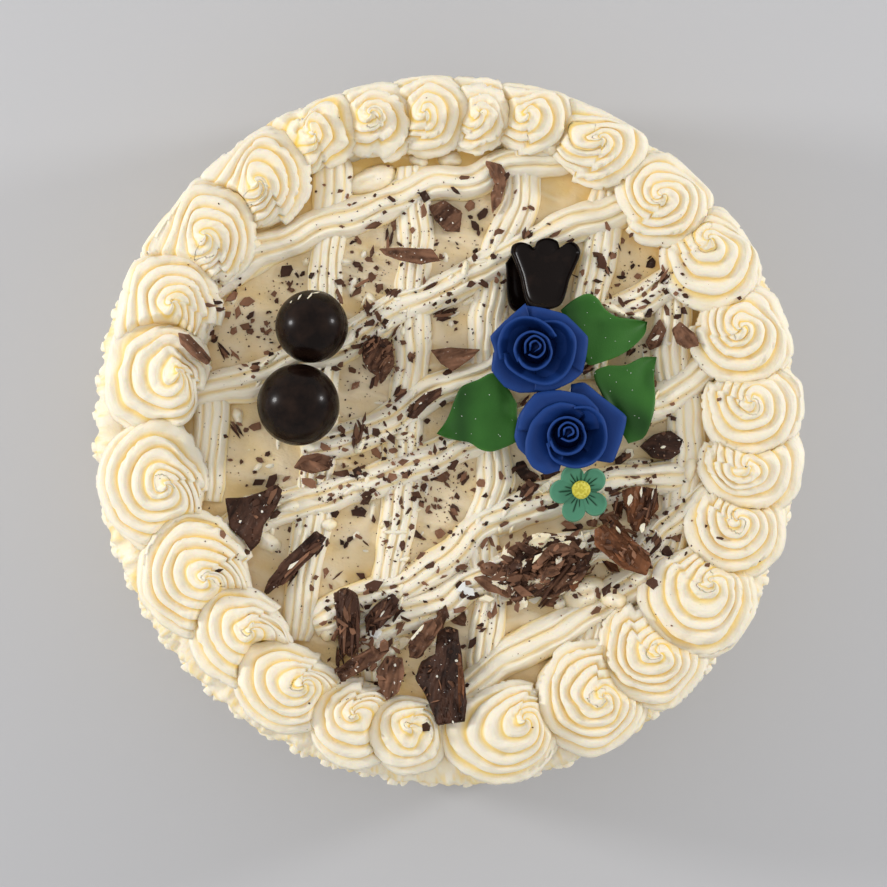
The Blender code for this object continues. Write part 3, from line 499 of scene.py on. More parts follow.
def rosettePiece(index):
    # ridged bands wind inward, counter-clockwise, from the wall over the rim to a small peak
    px, py, radius, sx, sy, _, torn = rosettes[index]
    shape = rosetteShape
    centre = plan(px, py)
    swirl = plan(sx, sy)
    for back in (1, 2):
        away = swirl - plan(*rosettes[index - back][:2])
        away = away / np.linalg.norm(away)
        while rosetteDepth(index - back, swirl[None, :])[0] > -0.004:
            swirl = swirl + away * 0.0005
    columns = shape["columns"]
    share = np.arange(columns) / columns
    start = math.atan2(-centre[1], -centre[0]) - 0.35 + 0.45 * cellHash(index, 1, 0, 5)
    angle = start + 2.0 * math.pi * share
    reach = rosetteReach(index, swirl, angle)
    mean = float(reach.mean())
    bands = mean / shape["pitch"]
    starts = 3 if mean > 0.0155 else 2
    lanes = int(math.ceil(bands)) + starts + 2
    ways = (np.arange(-2, lanes - 1)[:, None] + bandSamples[None, :]).ravel()
    rows = len(ways)
    perStart = starts * len(bandSamples)
    w = ways[:, None] + 0.0 * share[None, :]
    f = share[None, :] + 0.0 * w
    reach = reach * (1.0 - shape["step"] * ease(share, 0.70, 1.0))
    sway = field(np.column_stack([np.cos(angle), np.sin(angle), np.zeros(columns)]), 0.6, index + 40)
    fromRim = w - starts * (1.0 - f) + 0.20 * (0.6 + torn) * sway[None, :]
    fromRim = fromRim + 0.22 * lineField(w.ravel() * 0.8, 1.0, index + 33).reshape(w.shape) * (fromRim > 0.3)
    q = np.clip(1.0 - fromRim / bands, 0.0, 1.0)
    wall = np.clip(-fromRim / shape["wall"], 0.0, 1.0)
    u = w % 1.0
    lane = np.floor(w)
    height = shape["height"] * (0.62 + 0.38 * min(1.0, radius / planScale / 0.0205))
    envelope = height * (0.47 + 0.50 * (1.0 - q) ** 1.1) - height * 0.13 * np.exp(-np.maximum(fromRim, 0.0) / 0.45)
    envelope = envelope * (1.0 - wall ** 1.6)
    # ridge profile, stronger on the outer bands, with torn crests
    rise = ease(u, 0.0, 0.20)
    fall = 1.0 - 0.94 * ease(u, 0.34, 1.0)
    ridge = rise * fall
    crisp = np.exp(-((u - 0.17) / 0.09) ** 2)
    arc = (angle[None, :] - start) * mean * np.maximum(q, 0.15)
    spots = np.stack([arc, lane * 0.0031, f * 0.0], axis=-1).reshape(-1, 3)
    tear = np.clip(field(spots, 0.0012, index + 70), 0.0, 1.0).reshape(w.shape)
    patch = np.clip(field(spots, 0.009, index + 90).reshape(w.shape) * 1.2 + 0.3 + torn * 0.6, 0.0, 1.0)
    uneven = 1.0 + 0.30 * field(spots, 0.011, index + 11).reshape(w.shape)
    strength = 0.0022 * (0.45 + 0.55 * ease(q, 0.08, 0.70)) * uneven
    lift = (ridge - 0.60) * strength - crisp * tear * patch * 0.0012
    tilt = np.where(fromRim > 0.0, math.pi / 2.0 - 0.75 * np.exp(-np.maximum(fromRim, 0.0) / 0.5), 0.2)
    tilt = np.where(fromRim > 0.0, tilt, 0.82 - 0.75 * np.clip(wall * 3.0, 0.0, 1.0))
    bulge = 0.0010 * np.sin(np.clip(wall, 0.0, 1.0) * math.pi) - 0.0008 * wall
    rho = reach[None, :] * q + bulge - 0.0006 + lift * np.cos(tilt)
    rho = rho + crisp * strength * (0.30 - 0.45 * tear * patch) * (q > 0.08)
    z = envelope + lift * np.sin(tilt) * np.clip(envelope / 0.003, 0.0, 1.0)
    z = z + 0.0022 * np.exp(-(np.maximum(rho, 0.0) / 0.0024) ** 2)
    rho = np.maximum(rho, 0.0)
    turned = angle[None, :] + 0.9 * (1.0 - q) + 0.16 * lineField(q.ravel() * 7.0, 1.0, index + 60).reshape(q.shape)
    z = z + field(np.stack([rho * np.cos(turned), rho * np.sin(turned), 0.0 * rho], axis=-1).reshape(-1, 3), 0.0016,
                  index + 15).reshape(q.shape) * 0.0007 * np.exp(-(rho / 0.0040) ** 2)
    points = np.stack([swirl[0] + rho * np.cos(turned), swirl[1] + rho * np.sin(turned), np.maximum(z, 0.0)],
                      axis=-1).reshape(-1, 3)
    far = (rho / mean).ravel()
    highSide = math.atan2(centre[1], centre[0]) - math.pi / 2.0
    around = turned.ravel()
    points[:, 2] *= 1.0 + 0.10 * np.cos(around - highSide) * np.clip(far, 0.0, 1.0)
    under = np.zeros(len(points))
    for back in (1, 2):
        under = np.maximum(under, ease(rosetteDepth(index - back, points[:, :2]), -0.0010, 0.0036))
    points[:, 2] *= 1.0 - 0.70 * under
    rough = ease(points[:, 2], 0.0, 0.003)
    points[:, 2] += (field(points, 0.007, index) * 0.0006 + field(points, 0.0024, index) * (0.00017 + 0.0003 * torn)
                     + field(points, 0.0013, index + 2) * 0.00010) * rough
    points[:, 0] += field(points, 0.0085, index + 20) * 0.0007 * (1.0 + 2.0 * torn)
    points[:, 1] += field(points, 0.0085, index + 21) * 0.0007 * (1.0 + 2.0 * torn)
    out = np.hypot(points[:, 0], points[:, 1])
    points[:, :2] *= np.minimum(1.0, 0.1292 / out)[:, None]
    # painted shade: yellower in the grooves, in the torn middle, on the low parts and where the rosette runs under
    # earlier ones
    groove = 0.66 * (1.0 - ease(ridge, 0.02, 0.50)) + 0.10 * (1.0 - ridge) + 0.55 * np.exp(-(rho / 0.0045) ** 2) * tear
    groove = groove.ravel() + 0.50 * (1.0 - ease(points[:, 2], 0.0008, 0.0055)) + 0.55 * under
    points[:, 2] += shape["base"]
    index2 = np.arange(rows * columns).reshape(rows, columns)
    right = np.full((rows, columns), -1)
    right[:, :-1] = index2[:, 1:]
    right[:rows - perStart, -1] = index2[perStart:, 0]
    a, b, c, d = index2[:-1], right[:-1], right[1:], index2[1:]
    flat = np.stack([a, b, c, d], axis=-1).reshape(-1, 4)
    flat = flat[(flat >= 0).all(axis=1)]
    whole = (q.ravel() - wall.ravel())
    spread = whole[flat]
    flat = flat[spread.max(axis=1) - spread.min(axis=1) > 1e-6]
    keep = ~((whole[flat] <= 0.0).all(axis=1) | (wall.ravel()[flat] >= 1.0).all(axis=1))
    piece = makePiece(f"swirl_{index + 1:02d}", points, flat[keep].tolist(), creamLook,
                      [f"rosette_{index + 1:02d}"],
                      {"groove": np.clip(groove, 0.0, 1.0), "across": (w * 9.0).ravel(),
                       "along": (arc * 260.0).ravel()})
    tidyMesh(piece)
    return piece


swirls = [rosettePiece(index) for index in range(len(rosettes))]
print("rosettes made", sum(len(piece.data.polygons) for piece in swirls) * 2)


# coat, side ropes and basket strips

coatShape = {"segments": 300, "field": 0.110, "shoulder": (0.118, 0.1225),
             "wall": ((0.1238, 0.0640), (0.1240, 0.0400), (0.1240, 0.0100), (0.1228, 0.0012), (0.1180, 0.0),
                      (0.06, 0.0))}


def coatPiece():
    # the smooth spread cream under everything: a fine uneven top and a plain wall behind the ropes
    count = coatShape["segments"]
    around = np.linspace(0.0, 2.0 * math.pi, count, endpoint=False)
    rings = [(r, topHeight) for r in (*np.linspace(0.0012, 0.112, 96), *coatShape["shoulder"])]
    rings.extend(coatShape["wall"])
    points = np.concatenate([np.column_stack([r * np.cos(around), r * np.sin(around), np.full(count, z)])
                             for r, z in rings])
    far = np.hypot(points[:, 0], points[:, 1])
    onTop = (points[:, 2] > topHeight - 1e-6) & (far < coatShape["field"])
    sweepWay = np.array([[0.93, 0.36, 0.0], [-0.36, 0.93, 0.0], [0.0, 0.0, 1.0]])
    smear = points @ sweepWay * np.array([0.35, 1.0, 1.0])
    sweep = field(smear, 0.010, 4) * 0.0010 + field(smear, 0.0042, 5) * 0.0005 + field(points, 0.006, 6) * 0.0004
    crease = 1.0 - ease(np.abs(field(smear * np.array([0.8, 1.0, 1.0]), 0.0075, 8)), 0.0, 0.20)
    sweep = sweep + crease * 0.0007 * (field(points, 0.02, 9) > -0.2)
    points[:, 2] += np.where(onTop, (sweep - 0.0003) * ease(coatShape["field"] - far, 0.0, 0.01), 0.0)
    # painted shade: yellower in the hollows of the smear, in the band under the rosettes' inner edges, and on the wall
    # behind the ropes
    hollowShades = np.clip(0.25 - 0.6 * sweep / 0.0012, 0.0, 0.6)
    groove = np.where(points[:, 2] > 0.05, hollowShades + 0.60 * ease(far, 0.086, 0.102), 0.5)
    faces = gridFaces(len(rings), count, closeCols=True)
    faces.append(list(range(count - 1, -1, -1)))
    faces.append(list(range((len(rings) - 1) * count, len(rings) * count)))
    turned = points @ sweepWay
    piece = makePiece("creamCoat", points, faces, coatLook, ["cake_cream"],
                      {"groove": groove, "across": turned[:, 1] * 700.0, "along": turned[:, 0] * 110.0})
    turnOutward(piece)
    return piece


def sideRopes():
    # upright piped ropes round the side, each with torn ridges, a soft foot and a lumpy upper end
    count = 64
    rows = 40
    inLobe = np.array([0.0, 0.08, 0.18, 0.42, 0.68, 0.86])
    slots = (np.arange(5)[:, None] + inLobe[None, :]).ravel()
    theta = (slots / 5.0 - 0.5) * math.radians(235.0)
    cols = len(slots)
    points = []
    grooves = []
    faces = []
    for rope in range(count):
        turn = 2.0 * math.pi * (rope + 0.5) / count
        outward = np.array([math.cos(turn), math.sin(turn)])
        across = np.array([-math.sin(turn), math.cos(turn)])
        endTop = 0.0655 + 0.0020 * cellHash(rope, 2, 0, 1)
        heights = np.concatenate([np.linspace(0.0004, endTop - 0.006, rows - 7),
                                  endTop - 0.006 * np.cos(np.linspace(0.18, math.pi / 2.0, 7))])
        share = np.concatenate([np.ones(rows - 7), np.cos(np.linspace(0.2, math.pi / 2.0, 7)) * 0.9 + 0.1])
        start = len(points) * cols
        for k, height in enumerate(heights):
            spot = np.array([[height * 40.0, rope * 3.7, 0.0]])
            size = 0.0064 * share[k] * (1.0 + 0.05 * field(spot * 9.0, 1.0, 6)[0])
            size *= 1.0 + 0.08 * math.exp(-height / 0.003) - 0.10 * math.exp(-height / 0.0008)
            size *= 1.0 + 0.06 * cellHash(rope, 9, 0, 4)
            turned = slots + 0.25 * cellHash(rope, 5, 0, 2) + 0.4 * lineField([height * 30.0 + rope], 1.0, 4)[0]
            lobe, grooveShade = grooveProfile(turned % 1.0, 0.26)
            number = np.floor(turned)
            rough = field(np.column_stack([np.full(cols, height * 900.0), number * 2.1, np.full(cols, rope * 1.9)]),
                          1.0, 31)
            crisp = np.exp(-((turned % 1.0 - 0.14) / 0.12) ** 2)
            lobe = lobe - crisp * np.clip(rough, 0.0, 1.0) * 0.10
            shift = 0.0011 * lineField([height * 60.0 + rope * 7.0], 1.0, 8)[0]
            lean = 0.0022 * (1.0 - share[k])
            out = 0.1240 - lean + np.cos(theta) * size * lobe
            side = shift + np.sin(theta) * size * lobe
            row = outward * out[:, None] + across * side[:, None]
            points.append(np.column_stack([row, np.full(cols, height)]))
            # painted shade: yellower in the grooves and toward the curled upper end
            grooves.append(np.clip(grooveShade * 0.7 + 0.15 * (1.0 - share[k]), 0.0, 1.0))
        faces += gridFaces(rows, cols, start=start)
        faces.append([start + (rows - 1) * cols + k for k in range(cols)])
        faces.append([start + k for k in range(cols - 1, -1, -1)])
        for k in range(rows - 1):
            faces.append([start + k * cols, start + (k + 1) * cols, start + (k + 2) * cols - 1,
                          start + (k + 1) * cols - 1])
    points = np.concatenate(points)
    rough = field(points, 0.004, 77) * 0.00040 + field(points, 0.0018, 78) * 0.00025 * (points[:, 2] > 0.05)
    points[:, :2] += rough[:, None] * points[:, :2] / 0.13
    out = np.hypot(points[:, 0], points[:, 1])
    points[:, :2] *= np.minimum(1.0, 0.1303 / out)[:, None]
    turn = np.arctan2(points[:, 1], points[:, 0])
    piece = makePiece("sideRopes", points, faces, creamLook, (),
                      {"groove": np.concatenate(grooves), "across": turn * 260.0, "along": points[:, 2] * 160.0})
    turnOutward(piece)
    return piece


# centre lines of the basket: lower strips run down the drawing, upper ones slant across it
stripShape = {"width": 0.0132, "lower": 0.0045, "upper": 0.0066, "groove": 0.30, "step": 0.0011}
lowerStrips = (
    ((214, 375), (213, 400), (212, 430), (210, 460), (206, 500)),
    ((332, 150), (330, 205), (328, 242), (325, 300), (320, 400), (315, 505), (305, 560), (298, 640)),
    ((412, 165), (415, 250), (412, 300), (412, 345), (408, 390), (403, 440), (398, 520), (388, 590), (378, 680)),
    ((522, 148), (520, 210), (500, 250), (492, 290), (484, 340), (488, 400), (495, 480), (480, 540), (490, 600),
     (484, 670)),
    ((608, 190), (600, 255), (590, 300), (592, 380)),
    ((592, 585), (590, 630), (580, 670)),
    ((676, 290), (672, 365), (688, 405), (686, 450), (682, 500), (668, 560)),
)
upperStrips = (
    ((200, 295), (222, 275), (262, 252), (300, 237), (335, 222), (380, 208), (425, 184), (470, 182), (510, 162),
     (575, 155)),
    ((180, 396), (240, 384), (290, 368), (340, 348), (395, 310), (450, 288), (500, 262), (530, 245), (575, 222),
     (645, 203)),
    ((300, 450), (350, 437), (385, 422), (433, 390), (490, 370), (560, 335), (640, 300), (712, 255)),
    ((225, 530), (282, 508), (330, 496), (385, 476), (440, 455), (500, 430), (580, 415), (654, 404), (722, 355)),
    ((312, 620), (365, 600), (400, 588), (430, 572), (452, 555), (475, 530), (510, 513), (545, 500), (620, 482),
     (690, 474)),
    ((350, 640), (410, 612), (445, 600), (470, 585), (520, 565), (600, 545), (640, 555), (665, 530), (722, 485)),
    ((445, 712), (490, 668), (520, 650), (555, 632), (590, 612), (625, 592), (665, 570)),
)


def stripPiece(name, lines, height, ribCount, seed):
    shape = stripShape
    across01 = np.linspace(-1.0, 1.0, 45)
    across01 = np.sign(across01) * np.abs(across01) ** 0.92
    cols = len(across01) + 2
    points = []
    grooves = []
    lanes = []
    runs = []
    faces = []
    for number, line in enumerate(lines):
        corners = [plan(*corner) for corner in line]
        count = int(lengthOf(corners) / shape["step"])
        path = curveThrough(corners, count)
        along = np.arange(count) * shape["step"]
        path[:, 0] += 0.0009 * lineField(along, 0.015, seed + number)
        path[:, 1] += 0.0009 * lineField(along, 0.015, seed + number + 30)
        ahead = np.gradient(path, axis=0)
        ahead /= np.linalg.norm(ahead, axis=1)[:, None]
        across = np.stack([-ahead[:, 1], ahead[:, 0]], axis=1)
        half = shape["width"] * 0.5 * (1.0 + 0.16 * lineField(along, 0.012, seed + number + 60))
        end = ease(np.minimum(along, along[-1] - along), 0.0, 0.006)
        start = len(points) * cols
        phase = 0.3 * cellHash(number, seed, 0, 3)
        for k in range(count):
            sway = 0.30 * lineField([along[k]], 0.012, seed + number + 90)[0]
            ribs = ((across01 + 1.0) * 0.5 * ribCount + phase + sway)
            share = ribs % 1.0
            ridge = ease(share, 0.0, 0.30) * (1.0 - 0.92 * ease(share, 0.58, 1.0)) * (1.0 - 0.12 * share)
            grooveShade = 0.6 * (1.0 - ease(ridge, 0.0, 0.55))
            bits = field(np.column_stack([np.full(len(share), along[k] * 260.0), np.floor(ribs) * 1.9,
                                          np.full(len(share), number * 2.7)]), 1.0, seed)
            slow = field(np.column_stack([np.full(len(share), along[k] * 70.0), np.floor(ribs) * 1.3,
                                          np.full(len(share), number * 5.1)]), 1.0, seed + 5)
            deep = shape["groove"] * np.clip(0.85 + 0.9 * slow, 0.25, 1.3)
            rib = 1.0 - deep * (1.0 - ridge)
            body = 1.0 - np.abs(across01) ** 2.8 * 0.74
            lift = height * body * (rib + 0.05 * bits + 0.13 * slow) * (0.55 + 0.45 * end[k])
            lanes.append(np.concatenate([[0.0], ribs * 9.0, [0.0]]) + number * 31.0)
            runs.append(np.full(cols, along[k] * 260.0))
            lift = np.concatenate([[-0.0015], lift, [-0.0015]])
            wide = np.concatenate([[-1.04], across01, [1.04]]) * half[k] * (0.8 + 0.2 * end[k])
            spot = path[k] + across[k] * wide[:, None]
            points.append(np.column_stack([spot, topHeight + lift]))
            # painted shade: yellower in the grooves, on the skirts and where the strip lies low on the coat
            low = 1.0 - ease(lift, 0.0, 0.0022)
            grooves.append(np.clip(np.concatenate([[0.5], grooveShade * 0.8, [0.5]]) + 0.22 * low, 0.0, 1.0))
        faces += gridFaces(count, cols, start=start)
        faces.append([start + k for k in range(cols)])
        faces.append([start + (count - 1) * cols + k for k in range(cols - 1, -1, -1)])
        for k in range(count - 1):
            faces.append([start + k * cols, start + (k + 1) * cols, start + (k + 2) * cols - 1,
                          start + (k + 1) * cols - 1])
    points = np.concatenate(points)
    points[:, 2] += field(points, 0.004, seed) * 0.00035
    points[:, 0] += field(points, 0.006, seed + 1) * 0.0004
    points[:, 1] += field(points, 0.006, seed + 2) * 0.0004
    piece = makePiece(name, points, faces, creamLook, (),
                      {"groove": np.concatenate(grooves), "across": np.concatenate(lanes),
                       "along": np.concatenate(runs)})
    turnOutward(piece)
    return piece


def rimCream():
    # the untidy cream between the rosettes and the upper ends of the ropes
    columns = 900
    turn = np.linspace(0.0, 2.0 * math.pi, columns, endpoint=False)
    section = ((0.1040, 0.0655), (0.1075, 0.0668), (0.1110, 0.0676), (0.1145, 0.0684), (0.1180, 0.0690),
               (0.1210, 0.0692), (0.1238, 0.0688), (0.1260, 0.0676), (0.1277, 0.0658), (0.1284, 0.0638),
               (0.1280, 0.0618), (0.1262, 0.0600), (0.1230, 0.0590))
    rows = []
    groove = []
    for k, (radius, height) in enumerate(section):
        ring = np.column_stack([np.cos(turn) * radius, np.sin(turn) * radius, np.full(columns, height)])
        lumps = field(ring, 0.0045, 12) + 0.6 * field(ring, 0.0019, 13)
        folds = np.abs(field(ring * np.array([1.0, 1.0, 0.4]), 0.0030, 14))
        out = 0.0011 * lumps - 0.0016 * folds * (radius > 0.119)
        edge = ease(k, 0.0, 2.0) * (1.0 - ease(k, 10.0, 12.0))
        far = np.minimum(radius + out * edge, 0.1302)
        rows.append(np.column_stack([np.cos(turn) * far, np.sin(turn) * far,
                                     height + (0.0012 * lumps - 0.0012 * folds) * edge]))
        # painted shade: yellower in the creases of the folds and in the dips between lumps
        groove.append(np.clip(0.10 + 0.55 * (1.0 - ease(folds, 0.0, 0.22)) - 0.12 * lumps, 0.0, 1.0))
    points = np.concatenate(rows)
    faces = gridFaces(len(rows), columns, closeCols=True)
    last = (len(rows) - 1) * columns
    faces += [[last + k, last + (k + 1) % columns, (k + 1) % columns, k] for k in range(columns)]
    around = np.tile(turn, len(rows))
    piece = makePiece("rimCream", points, faces, creamLook, (),
                      {"groove": np.concatenate(groove), "across": points[:, 2] * 900.0, "along": around * 30.0})
    turnOutward(piece)
    return piece


# lumps of cream that were pushed up or dropped: where, length and width (drawing units), turn, height in mm
creamLumps = (
    (372, 180, 50, 32, 20, 5.0), (585, 592, 48, 38, 15, 6.5), (562, 602, 24, 16, 40, 3.0), (612, 598, 32, 22, -20, 4.5),
    (640, 577, 28, 18, 30, 3.5), (290, 507, 26, 11, 15, 2.0), (268, 541, 34, 20, -35, 2.4), (328, 524, 18, 14, 0, 2.4),
    (352, 286, 22, 12, 70, 2.6), (372, 300, 20, 10, -50, 2.6), (404, 436, 24, 10, 15, 2.6), (360, 446, 20, 10, 60, 2.4),
    (238, 415, 22, 12, -80, 3.0), (560, 480, 26, 14, 25, 2.6), (640, 462, 34, 12, 5, 3.2), (612, 310, 34, 12, -25, 3.0),
    (636, 316, 20, 10, 10, 3.0), (470, 300, 20, 9, 30, 2.2), (344, 262, 20, 10, 0, 2.4), (306, 262, 12, 9, 80, 2.6),
    (450, 158, 30, 18, 10, 3.6), (420, 160, 24, 16, -20, 3.4), (548, 150, 30, 14, -10, 3.4),
    (690, 470, 26, 14, 80, 3.0),
    (250, 250, 26, 14, 30, 3.2), (232, 300, 16, 12, 60, 2.8), (440, 640, 26, 12, 30, 3.0), (392, 650, 24, 14, 60, 3.2),
    (690, 300, 22, 16, 60, 3.6), (676, 560, 26, 18, 40, 3.6), (330, 632, 24, 16, 20, 3.0), (486, 598, 18, 8, 5, 4.6),
)


def lumpsPiece(carry):
    draw = np.random.default_rng(23)
    spots = list(creamLumps)
    for _ in range(110):
        ring = math.sqrt(draw.uniform(0.0, 1.0))
        turn = draw.uniform(0.0, 2.0 * math.pi)
        spots.append((449 + 215 * ring * math.cos(turn), 431 + 200 * ring * math.sin(turn), draw.uniform(9.0, 30.0),
                      draw.uniform(4.0, 9.0), draw.choice([20.0, 85.0]) + draw.normal(0.0, 22.0),
                      draw.uniform(0.5, 1.5)))
    rows, cols = 9, 30
    share = np.linspace(0.0, 1.0, rows)[1:]
    around = np.linspace(0.0, 2.0 * math.pi, cols, endpoint=False)
    points = []
    faces = []
    grooves = []
    count = 0
    for number, (px, py, long, wide, turned, high) in enumerate(spots):
        land = carry.ray_cast(Vector((*plan(px, py), 0.2)), downWay)[0]
        angle = math.radians(turned)
        ridge = 1.0 + 0.22 * lineField(np.cos(around) * 2.0 + number * 3.1, 1.0, 5)
        local = np.stack([np.outer(share, np.cos(around) * ridge) * 0.5 * long,
                          np.outer(share, np.sin(around) * ridge) * 0.5 * wide], axis=-1).reshape(-1, 2)
        local = np.vstack([[[0.0, 0.0]], local]) / planScale
        flat = plan(px, py) + local @ np.array([[math.cos(angle), math.sin(angle)],
                                                [-math.sin(angle), math.cos(angle)]])
        dome = np.concatenate([[1.0], np.repeat(np.cos(share * 0.5 * math.pi) ** 0.7, cols)])
        folds = field(np.column_stack([local[:, 0] * 0.5, local[:, 1], np.full(len(local), number * 0.01)]), 0.0022, 31)
        lift = dome * (high * 0.001) * (1.0 + 0.45 * folds) - 0.0009 * (1.0 - dome)
        lift += field(np.column_stack([flat, lift]), 0.0013, 32) * 0.00018
        points.append(np.column_stack([flat, land.z - 0.0004 + lift]))
        # painted shade: yellower toward the foot of each lump and in the dips of its folds
        grooves.append(np.clip(0.30 * (1.0 - dome) + 0.25 * np.clip(-folds, 0.0, 1.0), 0.0, 1.0))
        faces += [[count, count + 1 + k, count + 1 + (k + 1) % cols] for k in range(cols)]
        faces += gridFaces(rows - 1, cols, closeCols=True, start=count + 1)
        faces.append([count + 1 + (rows - 2) * cols + k for k in range(cols - 1, -1, -1)])
        count += len(flat)
    points = np.concatenate(points)
    piece = makePiece("creamSmears", points, faces, creamLook, (),
                      {"groove": np.concatenate(grooves), "across": points[:, 1] * 800.0,
                       "along": points[:, 0] * 160.0})
    turnOutward(piece)
    return piece


coat = coatPiece()
ropes = sideRopes()
rim = rimCream()
basketLow = stripPiece("basketLower", lowerStrips, stripShape["lower"], 4, 3)
basketHigh = stripPiece("basketUpper", upperStrips, stripShape["upper"], 3, 11)
smears = lumpsPiece(treeOf(coat, basketLow, basketHigh))
print("coat, ropes, strips and smears made",
      [len(piece.data.polygons) for piece in (coat, ropes, basketLow, basketHigh, smears)])


# chocolate balls

def ballPiece(number, px, py, radius):
    # a moulded hollow ball with a faint seam where its halves meet; on ball 2 the seam's paler band is a painted
    # reflection of the cream round it
    low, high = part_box(f"ball_{number}")
    centre = np.array([*plan(px, py), (low[2] + high[2]) * 0.5])
    polar = np.linspace(0.0, math.pi, 122)[1:-1]
    turn = np.linspace(0.0, 2.0 * math.pi, 192, endpoint=False)
    grid = np.stack(np.meshgrid(polar, turn, indexing="ij"), axis=2)
    way = np.stack([np.sin(grid[..., 0]) * np.cos(grid[..., 1]), np.sin(grid[..., 0]) * np.sin(grid[..., 1]),
                    np.cos(grid[..., 0])], axis=2).reshape(-1, 3)
    seamNormal = np.array([-0.46, 0.12, 0.88]) if number == 1 else np.array([0.10, 0.35, 0.93])
    seamNormal /= np.linalg.norm(seamNormal)
    along = way @ seamNormal
    ridge = np.exp(-(along / 0.016) ** 2) * 0.00016
    size = radius - 0.00016 + ridge + field(way * radius, 0.006, number) * 0.00004
    points = np.vstack([centre + way * size[:, None], centre + [0.0, 0.0, radius], centre - [0.0, 0.0, radius]])
    faces = gridFaces(len(polar), 192, closeCols=True)
    top = len(points) - 2
    faces += [[top, (k + 1) % 192, k] for k in range(192)]
    last = (len(polar) - 1) * 192
    faces += [[top + 1, last + k, last + (k + 1) % 192] for k in range(192)]
    # paler along the seam: a seam line on ball 1, a painted reflection ring by the lower left limb on ball 2
    tone = np.append(0.12 + 0.55 * np.exp(-(along / 0.018) ** 2), [0.12, 0.12])
    piece = makePiece(f"ball_{number}_moulded", points, faces, glossLook, [f"ball_{number}"],
                      {"tone": tone})
    turnOutward(piece)
    return piece


ballPieces = [ballPiece(1, 312, 329.5, 0.0132), ballPiece(2, 299, 406.5, 0.0148)]


# shards, from the solids, with split grain

def refined(work, edgeLength):
    # a mesh cut finely enough for grain and chipped edges
    bmesh.ops.remove_doubles(work, verts=work.verts, dist=0.00002)
    bmesh.ops.triangulate(work, faces=work.faces)
    for _ in range(6):
        long = [edge for edge in work.edges if edge.calc_length() > edgeLength]
        if not long:
            break
        bmesh.ops.subdivide_edges(work, edges=long, cuts=1)
        bmesh.ops.triangulate(work, faces=work.faces)
    bmesh.ops.recalc_face_normals(work, faces=work.faces)
    work.normal_update()
    work.verts.index_update()
    points = np.array([vert.co[:] for vert in work.verts])
    normals = np.array([vert.normal[:] for vert in work.verts])
    faces = [[vert.index for vert in face.verts] for face in work.faces]
    sharp = np.array([max((edge.calc_face_angle(0.0) for edge in vert.link_edges), default=0.0)
                      for vert in work.verts])
    work.free()
    return points, normals, faces, sharp


# name: look, grain direction in degrees, grain depth in mm, base tone
shardLooks = {
    "shard_plate_left": (darkLook, 60, 0.10, 0.45), "shard_long_left": (darkLook, 47, 0.32, 0.40),
    "shard_plate_bottom": (darkLook, 80, 0.22, 0.35), "shard_bundle_bark": (darkLook, 88, 0.45, 0.55),
    "shard_bundle_dark": (darkLook, 45, 0.35, 0.40), "shard_bundle_low": (brownLook, 28, 0.30, 0.30),
    "shard_bundle_light": (brownLook, 80, 0.20, 0.45), "shard_curved_brown": (brownLook, 50, 0.15, 0.55),
    "shard_flat_top": (brownLook, -2, 0.20, 0.55), "shard_plate_top": (brownLook, 40, 0.20, 0.45),
    "shard_mauve_top": (brownLook, -75, 0.25, 0.50), "shard_bark_centre": (brownLook, 62, 0.40, 0.25),
    "shard_fan_centre": (brownLook, 10, 0.15, 0.60), "shard_curl_centre": (darkLook, 38, 0.15, 0.60),
    "shard_brown_left": (brownLook, 5, 0.15, 0.50), "shard_oval_left": (brownLook, -40, 0.15, 0.55),
    "shard_almond_right": (darkLook, -5, 0.12, 0.35), "shard_block_right": (rustLook, 80, 0.45, 0.25),
    "shard_rust_right": (rustLook, -38, 0.25, 0.45),
    "shard_wedge_right": (brownLook, 60, 0.20, 0.55), "shard_wing_right": (brownLook, -45, 0.20, 0.60),
}


def brokenSurface(points, normals, sharp, seed, turn, grain, tone):
    # split grain, lumps, layers and chipped edges: the moved points and how pale each is
    angle = math.radians(turn)
    along = points @ np.array([math.cos(angle), math.sin(angle), 0.0])
    across = points @ np.array([-math.sin(angle), math.cos(angle), 0.0])
    streak = field(np.column_stack([along * 0.14, across, points[:, 2]]), 0.0010, seed)
    fine = field(np.column_stack([along * 0.25, across, points[:, 2]]), 0.0005, seed + 3)
    lumps = field(points, 0.004, seed + 5)
    chip = np.clip(field(points, 0.0021, seed + 9) + 0.5 * field(points, 0.0009, seed + 10) + 0.15, -0.2, 1.0)
    steps = field(np.column_stack([along * 0.4, across, points[:, 2]]), 0.0050, seed + 13) * 2.2
    layer = np.floor(steps) + ease(steps - np.floor(steps), 0.78, 1.0)
    move = grain * 0.001 * (0.7 * streak + 0.35 * fine + 0.4 * lumps) + 0.00030 * layer * (normals[:, 2] > 0.3)
    edge = sharp > 0.6
    move -= np.where(edge, 0.00020 + 0.00055 * np.clip(chip, 0.0, 1.0), 0.0)
    points = points + normals * move[:, None]
    shade = tone + 0.34 * streak + 0.20 * fine + 0.15 * lumps + 0.12 * layer
    shade += np.where(edge, 0.25 * (1.0 + chip), 0.0)
    return points, np.clip(shade, 0.0, 1.0)


def shardPiece(name, look, turn, grain, tone, edgeLength=0.0006):
    work = bmesh.new()
    work.from_mesh(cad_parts[name].data)
    points, normals, faces, sharp = refined(work, edgeLength)
    points, shade = brokenSurface(points, normals, sharp, sum(map(ord, name)) % 97, turn, grain, tone)
    return makePiece(name + "_broken", points, faces, look, [name], {"tone": shade}, smooth=False)


shardPieces = [shardPiece(name, *facts) for name, facts in shardLooks.items()]
heapPiece = shardPiece("shaving_heap", brownLook, 20, 0.45, 0.12, 0.0009)


